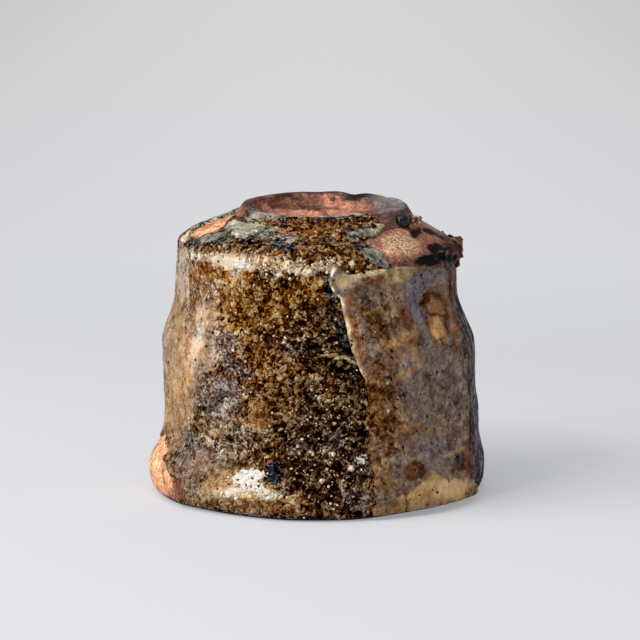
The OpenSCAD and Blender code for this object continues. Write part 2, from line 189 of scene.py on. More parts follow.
def station(place):
    """Ring of the outside at a place: 0 contact band, 1 widest, 2 hip corner, 3 foot ring's seat."""
    q = np.radians(90 * np.clip(place, 0, 1))
    s = np.clip(place - 1, 0, 1)
    h = np.clip(place - 2, 0, 1) ** 1.5
    hip, roll = place > 2, place < 1
    radius = np.where(roll, mix(BAND_R, LIP_R, np.sin(q)), wall_radius(s))
    height = np.where(roll, LIP_Z * (1 - np.cos(q)), mix(LIP_Z, HIP_Z, s))
    return {
        "radius": np.where(hip, mix(HIP_R, FOOT_BASE_R, h), radius),
        "height": np.where(hip, mix(HIP_Z, SEAT_Z, h ** 0.55), height), "share": s,
        "facet": np.where(hip, 0.8 * (1 - h), facet_weight(s)),
        "shift": np.where(hip, FOOT_SHIFT * h, BOW_SHIFT * np.sin(math.pi * np.minimum(1, s / 0.34))),
        "lift": 1 - smooth(s / 0.33),
        "drop": np.where(hip, 1 - h * h, smooth((s - 0.6) / 0.4)),
    }


def inner_station(place):
    """Ring of the cavity at a place: 0 contact band, 1 mouth, 2 middle of the ceiling."""
    q = np.radians(90 * np.clip(place, 0, 1))
    arc = np.radians(89.5 * np.clip(place - 1, 0, 1))
    s = np.sin(arc) ** (2 / 3)
    roll = place < 1
    barrel = mix(MOUTH_R, WAIST_R - WALL_T, smooth(s / 0.4)) * np.cos(arc) ** (2 / 3)
    return {
        "radius": np.where(roll, mix(INNER_BAND_R, MOUTH_R, np.sin(q)), barrel),
        "height": np.where(roll, 0.8 * LIP_Z * (1 - np.cos(q)), mix(0.8 * LIP_Z, CEILING_Z, s)),
        "share": np.where(roll, 0, s), "facet": np.where(roll, facet_weight(0), facet_weight(0) * (1 - s)),
        "shift": 0 * s, "lift": np.where(roll, 1, 1 - smooth(s / 0.33)), "drop": 0 * s,
    }


def skin_point(column, ring):
    """Point of the cut skin in a column, which is a ridge number with a share of the way to the next."""
    i = np.floor(column).astype(int)
    f = column - i
    t = ring["share"]
    a0, a1 = ridge(i, t), ridge(i + 1, t)
    azimuth = mix(a0, a1, f)
    half = np.radians(a1 - a0) / 2
    chord = np.cos(half) / np.cos((2 * f - 1) * half)
    here, after = i % N_FACETS, (i + 1) % N_FACETS
    w = ring["facet"]
    swell = w * mix(SWELL[here], SWELL[after], f) * np.sin(math.pi * t)
    r = ring["radius"] * (1 + swell) * (1 - w * FLATNESS[here] * (1 - chord))
    sag = HIP_DROP * mix(DROP[here], DROP[after], smooth(f))
    a = np.radians(azimuth)
    z = ring["height"] + ring["lift"] * lift(azimuth) - ring["drop"] * sag
    return stack(ring["shift"] + r * np.sin(a), -r * np.cos(a), z)


# Lengths along the outside from the band to the seat, and round the waist from ridge 0
PLACES = np.linspace(0, 3, 1501)
FLAT_RING = station(PLACES)
PATHS = np.concatenate([[0], np.cumsum(np.hypot(np.diff(FLAT_RING["radius"]), np.diff(FLAT_RING["height"])))])
PATH_END = PATHS[-1]
RIDGE_NUMBERS = np.arange(2 * N_FACETS + 1)


def arc_at(azimuth):
    return np.radians(azimuth - MID_RIDGES[0]) * WAIST_R


ARCS = arc_at(ridge(RIDGE_NUMBERS, 0.5))
GIRTH = ARCS[N_FACETS]


def place_of(path):
    return np.interp(path, PATHS, PLACES)


def path_of(place):
    return np.interp(place, PLACES, PATHS)


def column_of(arc):
    return np.interp(arc, ARCS, RIDGE_NUMBERS)


def arc_of(column):
    return np.interp(column, RIDGE_NUMBERS, ARCS)


def spread(low, high, step, stride=STRIDE):
    """Evenly spaced values about a step apart, whose number of steps is a multiple of stride."""
    n = stride * max(1, round((high - low) / step / stride))
    return np.linspace(low, high, n + 1)


def soft_skin(arc, path):
    """The cut skin with its ridges and its hip corner worn round."""
    total, weights = 0, 0
    room = np.clip(np.minimum(path, PATH_END - path) / 1.5, 0, 1)
    for along in (-1.2, -0.7, 0, 0.7, 1.2):
        ring = station(place_of(path + along * room))
        for across in (-0.9, -0.45, 0, 0.45, 0.9):
            w = math.exp(-along * along) * math.exp(-2 * across * across)
            total = total + w * skin_point(column_of((arc + across) % GIRTH), ring)
            weights += w
    return total / weights


def directions(points, ring=False):
    """Outward directions of a lattice whose rows go up and whose columns go round."""
    if ring:
        across = np.roll(points, -1, axis=1) - np.roll(points, 1, axis=1)
    else:
        across = np.gradient(points, axis=1)
    normal = np.cross(across, np.gradient(points, axis=0))
    return normal / np.maximum(np.linalg.norm(normal, axis=-1, keepdims=True), 1e-9)


def azimuth_of(points):
    return np.degrees(np.arctan2(points[..., 0], -points[..., 1]))


class Skin:
    """Points with their outward directions, and where they lie on the cup and in the front picture."""

    def __init__(self, points, out):
        self.clay, self.out = points, out
        self.azimuth, self.height = azimuth_of(points), points[..., 2]
        away = points - EYE
        zoom = LENS / SENSOR * FRAME / (away @ VIEW)
        self.x, self.y = FRAME / 2 + zoom * (away @ ACROSS), FRAME / 2 - zoom * (away @ np.cross(ACROSS, VIEW))
        self.facing = -(out @ VIEW)

    def ripple(self, size, seed, squeeze=(1, 1, 1)):
        return ripple(self.clay * np.array(squeeze), size, seed)

    def rough(self, size, seed, octaves=3):
        return rough(self.clay, size, seed, octaves)

    def wandering(self, distance, seed, wander):
        return distance + wander * (0.7 * self.ripple(2.2, seed) + 0.5 * self.ripple(0.9, seed + 5))

    def oval(self, azimuth, height, half_width, half_height, seed=1, wander=0.35):
        """Distance from an oval's middle, which is 1 on its wandering border."""
        off = turned(self.azimuth, azimuth) / half_width
        return self.wandering(np.hypot(off, (self.height - height) / half_height), seed, wander)

    def blob(self, x, y, half_width, half_height, tilt=0, seed=1, wander=0.35):
        """The same for an oval in the front picture, whose right end hangs down by a tilt in degrees."""
        c, s = math.cos(math.radians(tilt)), math.sin(math.radians(tilt))
        across, down = self.x - x, self.y - y
        d = np.hypot((across * c + down * s) / half_width, (down * c - across * s) / half_height)
        return self.wandering(d + 5 * smooth(1 - self.facing / 0.12), seed, wander)

    def spot(self, x, y, half_width, half_height, tilt, seed, softness):
        """1 inside such an oval and 0 outside."""
        return fade(self.blob(x, y, half_width, half_height, tilt, seed) - 1, softness)

    def paint(self, base, rounds, fronts=(), seed=40, softness=0.8):
        """Colours: a base colour with ovals of other colours laid over it.
        One of rounds is azimuth, height, half width in degrees, half height, colour, strength.
        One of fronts is x, y, half width, half height, tilt, colour, strength, and maybe softness.
        A colour in brackets is a display colour."""
        tint = np.broadcast_to(base, self.clay.shape).copy()
        for n, (*oval, shade, strength) in enumerate(rounds):
            tint = lay(tint, shade_of(shade), strength * fade(self.oval(*oval, seed + n) - 1, 0.5))
        for n, (x, y, wide, high, tilt, shade, strength, *soft) in enumerate(fronts):
            cover = self.spot(x, y, wide, high, tilt, seed + 100 + n, soft[0] if soft else softness)
            tint = lay(tint, shade_of(shade), strength * cover)
        return tint

    def level(self, base, rounds=(), fronts=(), seed=90):
        """Amounts: a base amount with ovals of other amounts laid over it, in the same way."""
        amount = np.full(self.height.shape, float(base))
        for n, (*oval, other) in enumerate(rounds):
            amount = mix(amount, other, fade(self.oval(*oval, seed + n) - 1, 0.5))
        for n, (*blob, other) in enumerate(fronts):
            amount = mix(amount, other, self.spot(*blob, seed + 50 + n, 0.8))
        return amount


def shade_of(shade):
    return linear(*shade) if isinstance(shade, tuple) else shade


class Sheet(Skin):
    """A lattice on the outside of the clay, on which a coat of glaze is laid."""

    def __init__(self, arcs, paths, ring=False):
        self.arc, self.path = np.meshgrid(arcs, paths)
        self.place = place_of(self.path)
        flat = soft_skin(self.arc, self.path)
        out = directions(flat, ring)
        azimuth = azimuth_of(flat)
        relief = 0.07 * rough(flat, 5, 3) * smooth(self.path / 2)
        for middle, z, wide, high, depth in DENTS:
            relief = relief + depth * bell(turned(azimuth, middle) / wide) * bell((flat[..., 2] - z) / high)
        super().__init__(flat + out * relief[..., None], out)
        self.azimuth = azimuth

    def above(self, thickness):
        """Points over the clay by a thickness, kept off the table."""
        points = self.clay + self.out * thickness[..., None]
        points[..., 2] = np.maximum(points[..., 2], CLEAR_OF_TABLE)
        return points


def set_object(name, points, faces, material, **values):
    """A smooth mesh in the shared frame, with the values that its material reads at each point."""
    mesh = bpy.data.meshes.new(name)
    flat = np.asarray(points).reshape(-1, 3) * MM
    mesh.from_pydata(flat.tolist(), [], faces)
    mesh.polygons.foreach_set("use_smooth", np.ones(len(mesh.polygons), dtype=bool))
    for key, value in values.items():
        value = np.asarray(value, dtype=np.float32)
        if key == "tint":
            rgba = np.concatenate([value.reshape(-1, 3), np.ones((len(flat), 1), dtype=np.float32)], axis=1)
            mesh.attributes.new(key, "FLOAT_COLOR", "POINT").data.foreach_set("color", rgba.ravel())
        else:
            each = np.ascontiguousarray(np.broadcast_to(value.ravel(), len(flat)))
            mesh.attributes.new(key, "FLOAT", "POINT").data.foreach_set("value", each)
    mesh.materials.append(material)
    mesh.update()
    return link(name, mesh)


def link(name, data):
    """A new object in the scene."""
    thing = bpy.data.objects.new(name, data)
    bpy.context.scene.collection.objects.link(thing)
    return thing


def rim(rows, cols):
    """Lattice places round the edge, with the outside on the left of the way round."""
    return (
        [c for c in range(cols - 1)] + [r * cols + cols - 1 for r in range(rows - 1)]
        + [(rows - 1) * cols + c for c in range(cols - 1, 0, -1)] + [r * cols for r in range(rows - 1, 0, -1)]
    )


def lattice_faces(rows, cols, start=0, flip=False):
    r, c = np.meshgrid(np.arange(rows - 1), np.arange(cols - 1), indexing="ij")
    a = (start + r * cols + c).ravel()
    quads = np.stack([a, a + 1, a + cols + 1, a + cols], axis=1)
    return (quads[:, ::-1] if flip else quads).tolist()


def shell(outer, inner, stride):
    """Points and faces of a closed coat: a fine outside, and an inside with every stride-th point."""
    rows, cols = outer.shape[:2]
    coarse = inner[::stride, ::stride]
    n_rows, n_cols = coarse.shape[:2]
    start = rows * cols
    faces = lattice_faces(rows, cols) + lattice_faces(n_rows, n_cols, start, True)
    fine_rim = rim(rows, cols)
    coarse_rim = [start + i for i in rim(n_rows, n_cols)]
    for k, here in enumerate(coarse_rim):
        after = coarse_rim[(k + 1) % len(coarse_rim)]
        run = [fine_rim[(k * stride + i) % len(fine_rim)] for i in range(stride + 1)]
        faces += [[run[i + 1], run[i], here] for i in range(stride)]
        faces.append([here, after, run[-1]])
    return np.concatenate([outer.reshape(-1, 3), coarse.reshape(-1, 3)]), faces


def with_inside(values, stride):
    """The values of a lattice's fine outside, followed by those of its coarse inside."""
    values = np.asarray(values)
    if values.ndim < 2:
        return values
    tail = (-1,) + values.shape[2:]
    return np.concatenate([values.reshape(tail), values[::stride, ::stride].reshape(tail)])


def coat(name, material, outer, inner, stride=STRIDE, **values):
    """A closed coat in one mesh, with its values on both sides."""
    points, faces = shell(outer, inner, stride)
    values = {key: with_inside(value, stride) for key, value in values.items()}
    return set_object(name, points, faces, material, **values)


def sunk(sheet):
    """The inside of a coat, sunk in the clay."""
    return sheet.above(np.full(sheet.height.shape, -SUNK))


def glaze_coat(name, material, sheet, thickness, **values):
    return coat(name, material, sheet.above(thickness), sunk(sheet), **values)


def tube(rings, first_pole, last_pole):
    """Points and faces of stacked closed rings with a pole at either end."""
    n_rings, n = rings.shape[:2]
    points = np.concatenate([[first_pole], rings.reshape(-1, 3), [last_pole]])
    k, j = np.meshgrid(np.arange(n_rings - 1), np.arange(n), indexing="ij")
    a, b = 1 + k * n + j, 1 + k * n + (j + 1) % n
    faces = np.stack([a, a + n, b + n, b], axis=-1).reshape(-1, 4).tolist()
    last = 1 + (n_rings - 1) * n
    faces += [[0, 1 + i, 1 + (i + 1) % n] for i in range(n)]
    faces += [[last + (i + 1) % n, last + i, last + n] for i in range(n)]
    return points, faces


# Fired colours, as they look on the cup
BRICK = linear(132, 90, 76)
SALMON = linear(214, 150, 112)
ORANGE = linear(204, 150, 114)
SCORCH = linear(92, 60, 52)
SOOT = linear(22, 25, 29)
SLATE = linear(80, 70, 66)
BLUE_GREY = linear(104, 98, 102)
LAVENDER = linear(138, 114, 98)
HEATHER = linear(112, 94, 82)
TAUPE = linear(110, 86, 68)
AMBER = linear(90, 52, 15)
BRONZE = linear(108, 84, 62)
COPPER = linear(112, 66, 28)
HONEY = linear(206, 152, 102)
GOLD = linear(108, 64, 14)
WELL_RED = linear(188, 132, 110)
OLIVE = linear(114, 82, 48)
TAN = linear(170, 132, 88)
CREAM = linear(228, 206, 166)
CHALK = linear(236, 226, 208)
UMBER = linear(54, 31, 10)
RUST = linear(112, 68, 50)
CELADON = linear(170, 166, 136)
MOSS = linear(100, 92, 76)


def add(tree, kind, inputs=None, **settings):
    """Adds a node. An input is a number, a colour or another node's output."""
    made = tree.nodes.new(kind)
    for key, value in settings.items():
        setattr(made, key, value)
    for key, value in (inputs or {}).items():
        if isinstance(value, bpy.types.NodeSocket):
            tree.links.new(value, made.inputs[key])
        else:
            made.inputs[key].default_value = value
    return made


def colour(c):
    return (float(c[0]), float(c[1]), float(c[2]), 1.0)


class Finish:
    """A new material with its node tree and main shader, and short ways to add to them."""

    def __init__(self, name, **numbers):
        self.material = bpy.data.materials.new(name)
        self.material.use_nodes = True
        self.tree = self.material.node_tree
        self.shader = self.tree.nodes["Principled BSDF"]
        self.at = self.add("ShaderNodeTexCoord").outputs["Object"]
        for key, value in numbers.items():
            self.shader.inputs[key.replace("_", " ")].default_value = value

    def add(self, kind, inputs=None, **settings):
        return add(self.tree, kind, inputs, **settings)

    def maths(self, operation, a, b):
        return self.add("ShaderNodeMath", {0: a, 1: b}, operation=operation).outputs[0]

    def times(self, a, b):
        return self.maths("MULTIPLY", a, b)

    def scaled(self, a, factor, extra):
        """a times factor, plus extra."""
        return self.add("ShaderNodeMath", {0: a, 1: factor, 2: extra}, operation="MULTIPLY_ADD").outputs[0]

    def vector(self, operation, inputs):
        return self.add("ShaderNodeVectorMath", inputs, operation=operation).outputs[0]

    def blend(self, factor, a, b, how="MIX"):
        inputs = {0: factor, 6: a, 7: b}
        return self.add("ShaderNodeMix", inputs, data_type="RGBA", blend_type=how, clamp_result=False).outputs[2]

    def ramp(self, factor, stops):
        """A colour ramp, whose stops are places with their colours."""
        made = self.add("ShaderNodeValToRGB", {0: factor})
        marks = made.color_ramp.elements
        while len(marks) < len(stops):
            marks.new(0.5)
        for mark, (where, what) in zip(marks, stops):
            mark.position = where
            mark.color = (*what, 1)
        return made.outputs[0]

    def range(self, value, low, high, top=1.0, how="LINEAR"):
        """0 at low and top at high."""
        inputs = {"Value": value, "From Min": low, "From Max": high, "To Max": top}
        return self.add("ShaderNodeMapRange", inputs, interpolation_type=how).outputs[0]

    def read(self, name, output="Fac"):
        return self.add("ShaderNodeAttribute", attribute_name=name).outputs[output]

    def noise(self, scale, detail, roughness=0.5, output=0):
        inputs = {"Vector": self.at, "Scale": scale, "Detail": detail, "Roughness": roughness}
        return self.add("ShaderNodeTexNoise", inputs).outputs[output]

    def cells(self, scale, at=None):
        """Distance from the middle of each cell, and three chances that hold for the whole cell."""
        made = self.add("ShaderNodeTexVoronoi", {"Vector": self.at if at is None else at, "Scale": scale})
        chances = self.add("ShaderNodeSeparateColor", {0: made.outputs["Color"]}).outputs
        return made.outputs["Distance"], chances

    def feed(self, socket, value):
        self.tree.links.new(value, self.shader.inputs[socket])

    def relief(self, strength, depth, height):
        bump = self.add("ShaderNodeBump", {"Strength": strength, "Distance": depth, "Height": height})
        self.feed("Normal", bump.outputs[0])


def glaze_material(
    name, cell=0.37, speck=CREAM, shine=(0.05, 0.22), bump=0.9, contrast=1.3, speck_share=0.82, specular=0.36,
    fine=0.36, clotted=0.32,
):
    """Ash glaze: crystals of many colours about one cell wide, bright specks, pores, a broken gloss, and milky white
    patches that mostly serve as painted highlights.
    """
    f = Finish(name)
    shift = f.vector("SUBTRACT", {0: f.noise(900.0, 2.0, output="Color"), 1: (0.5, 0.5, 0.5)})
    warped = f.vector("ADD", {0: f.at, 1: f.vector("SCALE", {0: shift, "Scale": 0.001})})
    crystal_off, crystal = f.cells(1000 / cell, warped)
    clot_off, clot = f.cells(1000 / (2.3 * cell), warped)
    value = f.scaled(crystal[0], fine, f.times(clot[0], clotted))
    value = f.scaled(f.noise(380.0, 6.0, 0.62), 0.62, f.maths("SUBTRACT", value, (fine + clotted) / 2 - 0.19))
    grain, frost = f.read("grain"), f.read("frost")
    power = f.times(f.scaled(value, -3.1 * contrast, 1.55 * contrast), grain)
    gamma = {"Color": f.read("tint", "Color"), "Gamma": f.maths("POWER", 2.718, power)}
    body = f.add("ShaderNodeGamma", gamma).outputs[0]
    hues = f.ramp(crystal[2], [
        (0.0, (0.62, 0.78, 1.0)), (0.16, (0.85, 0.94, 1.05)), (0.3, (1.0, 1.0, 1.0)), (0.62, (1.0, 1.0, 1.0)),
        (0.8, (1.22, 1.08, 0.62)), (1.0, (1.36, 1.14, 0.5)),
    ])
    body = f.blend(f.times(grain, 0.9), body, f.blend(1.0, body, hues, "MULTIPLY"))
    bright_off, chance = f.cells(1000 / (1.9 * cell), warped)
    near = f.maths("LESS_THAN", bright_off, f.scaled(crystal[1], 0.22, f.times(chance[0], 0.26)))
    picked = f.maths("GREATER_THAN", f.scaled(frost, 0.5, chance[1]), speck_share)
    specks = f.times(f.times(near, picked), grain)
    browner = mix(speck, speck * np.array([0.5, 0.36, 0.2]), 0.6)
    body = f.blend(specks, body, f.blend(chance[2], colour(speck), colour(browner)))
    # Milky white where the frost amount is high: the pools' own thick milky glaze, and on the amber and straw coats
    # mostly painted highlights
    milk_and_highlight = f.range(f.scaled(value, 1.3, frost), 1.06, 1.34, how="SMOOTHSTEP")
    body = f.blend(milk_and_highlight, body, colour(linear(248, 243, 232)))
    hole_off, hole = f.cells(900.0, warped)
    small = f.maths("LESS_THAN", hole_off, f.scaled(hole[1], 0.2, 0.1))
    pore = f.times(small, f.maths("GREATER_THAN", f.scaled(frost, 0.22, hole[0]), 0.66))
    f.feed("Base Color", f.blend(pore, body, (0.012, 0.009, 0.008, 1)))
    dull = f.scaled(value, shine[1] - shine[0], shine[0])
    f.feed("Roughness", f.times(dull, f.scaled(f.read("gloss"), -0.6, 1.0)))
    domes = f.scaled(clot_off, -0.8, f.scaled(crystal_off, -0.9, value))
    height = f.scaled(specks, 0.5, f.maths("SUBTRACT", domes, pore))
    f.relief(bump, 0.0004, f.scaled(f.noise(2600.0, 3.0), 0.35, height))
    f.feed("Specular IOR Level", f.range(value, 0.52, 0.72, specular))
    return f.material


def clay_material(name):
    """Coarse fired clay: sandy grit, scorched clouds and pits."""
    f = Finish(name, Specular_IOR_Level=0.12)
    value = f.scaled(f.cells(2100.0)[1][0], 0.35, f.times(f.noise(420.0, 8.0, 0.7), 0.85))
    depth = f.ramp(value, [
        (0.26, (0.22, 0.17, 0.18)), (0.42, (0.68, 0.62, 0.6)), (0.6, (1.1, 1.04, 0.98)), (0.82, (2.1, 2.1, 2.0)),
    ])
    depth = f.blend(f.read("grain"), (1, 1, 1, 1), depth)
    body = f.blend(1.0, f.read("tint", "Color"), depth, "MULTIPLY")
    sandy = f.ramp(f.cells(4000.0)[1][0], [
        (0.0, SCORCH), (0.22, linear(168, 100, 62)), (0.5, linear(214, 154, 100)), (0.72, linear(240, 208, 160)),
        (1.0, CHALK),
    ])
    body = f.blend(f.read("frost"), body, sandy)
    pit_off, pit_chance = f.cells(750.0)
    pit = f.times(f.maths("LESS_THAN", pit_off, 0.16), f.maths("GREATER_THAN", pit_chance[0], 0.6))
    f.feed("Base Color", f.blend(f.times(pit, 0.8), body, colour(SCORCH * 0.3)))
    f.feed("Roughness", f.times(f.scaled(value, 0.25, 0.62), f.scaled(f.read("gloss"), -0.7, 1.0)))
    f.relief(1.0, 0.0003, f.maths("SUBTRACT", value, pit))
    return f.material


def cloudy_material(name, scale, detail, stops, bump, breakup=0.5, **numbers):
    """A stony or glassy finish whose colours and relief follow one cloudy pattern."""
    f = Finish(name, **numbers)
    cloud = f.noise(scale, detail, breakup)
    f.feed("Base Color", f.ramp(cloud, stops))
    f.relief(bump, 0.0002, cloud)
    return f.material


def finish_piece(thing, node=None):
    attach(thing, "root")
    if node:
        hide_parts(node)
    return thing


# The seam's edge leans and bends: heights with their azimuths
SEAM_HEIGHTS = [0, 4, 12, 18, 24, 28, 31.5, 35, 39, 42, 43.6, 46, 48.5, 52]
SEAM_ANGLES = [18.8, 18.6, 18.2, 17.8, 17.4, 15.7, 13.6, 12.1, 10.4, 9.1, 6.6, 4.7, 5.4, 7.5]

# Edges as places in the front picture: the straw coat's top, the amber's right end on the hip, the lip roll's crest
STRAW_TOP_X = [334, 341, 347, 354, 366, 391, 411, 440, 458]
STRAW_TOP_Y = [264, 267, 273, 273, 270, 267, 266.5, 267, 269]
AMBER_END_Y, AMBER_END_X = [205, 218, 228, 236, 243, 256, 267], [394, 386, 380, 372, 364, 382, 396]
CREST_X = [371, 382, 393, 399, 403, 413, 419, 424, 434, 441, 446, 462, 471, 478]
CREST_Y = [503, 500, 498, 493, 488, 486, 481, 477, 470.5, 473, 477, 475, 478, 484]


def seam_offset(sheet):
    """Length along the skin to the right of the seam's wandering edge."""
    off = turned(sheet.azimuth, np.interp(sheet.height, SEAM_HEIGHTS, SEAM_ANGLES))
    return np.radians(off) * WAIST_R - 0.2 * sheet.ripple(3, 71, (0, 0, 1)) - 0.22 * sheet.ripple(1.3, 72)


def over_straw(sheet):
    """How far a place lies over the straw coat's upper edge in the front picture, in millimetres."""
    return (np.interp(sheet.x, STRAW_TOP_X, STRAW_TOP_Y) - sheet.y) / PX_PER_MM


def bare_lip(sheet):
    """Distance from the middle of the bare patch on the lip, 1 on its border."""
    ovals = (160, 470, 22, 8, 66), (172, 489, 14, 11, 36), (157, 487, 15, 9, 40)
    front = [sheet.blob(*oval, 61, 0.12) for oval in ovals]
    return np.minimum.reduce(front + [sheet.oval(-86, 3.5, 17, 7.5, 61, 0.16)])


def bare_clay(sheet):
    """1 where the amber glaze missed the clay, 0 elsewhere."""
    wedge = np.minimum(sheet.blob(207, 231, 21, 6.5, -27, 62, 0.2), sheet.blob(231, 216, 15, 4.5, -40, 63, 0.2))
    return np.maximum(fade(bare_lip(sheet) - 1, 0.2), fade(wedge - 1, 0.2))


def off_table(sheet):
    """0 on the contact band, where glaze would stick the cup to the kiln shelf, and 1 above it."""
    return smooth((sheet.path - 0.5) / 1.6)


def cut(thickness, cover, depth=0.5):
    """A coat's thickness, which dips below the clay's skin by a depth where it doesn't cover it."""
    return mix(-depth, thickness, cover)


# Painted contact shadow: darkens the lowest couple of millimetres of a skin, where the lip meets the table
def lip_contact_shadow(tint, sheet, strength=0.9, reach=2.2, softness=0.8):
    return lay(tint, SOOT * 0.7, strength * fade(sheet.path - reach, softness))


# Ovals of colour on the amber glaze, as Skin.paint takes them: on the sides and the back, then in front
AMBER_ROUNDS = [
    # (-101, 24) carries the left facet's tan, partly painted reflection, on round the side
    (-101, 24, 18, 20, (174, 138, 100), 0.9), (-96, 40, 12, 8, (140, 102, 66), 0.8),
    (-94, 14, 9, 6, (190, 150, 108), 0.6), (-110, 30, 20, 16, GOLD, 0.6), (-140, 20, 18, 14, (104, 92, 86), 0.7),
    (-165, 36, 20, 12, OLIVE, 0.7), (165, 18, 16, 14, UMBER, 0.7), (-125, 47, 30, 3, TAN, 0.5),
    (170, 48, 30, 2.5, CREAM, 0.4), (-150, 6, 30, 4, OLIVE, 0.6), (-100, 12, 14, 10, TAN * 0.7, 0.5),
    (-178, 24, 12, 16, GOLD, 0.7), (-120, 14, 10, 5, UMBER, 0.6), (150, 34, 9, 16, (112, 96, 88), 0.7),
    (-152, 44, 18, 4, UMBER * 0.7, 0.7), (-106, 40, 12, 7, (168, 128, 84), 0.7),
    (178, 8, 22, 5, (120, 98, 84), 0.6), (-130, 30, 8, 12, UMBER, 0.7), (-172, 16, 8, 6, (150, 116, 78), 0.6),
    (160, 44, 14, 4, (150, 122, 84), 0.6), (-108, 52, 26, 3, (140, 138, 136), 0.85),
]
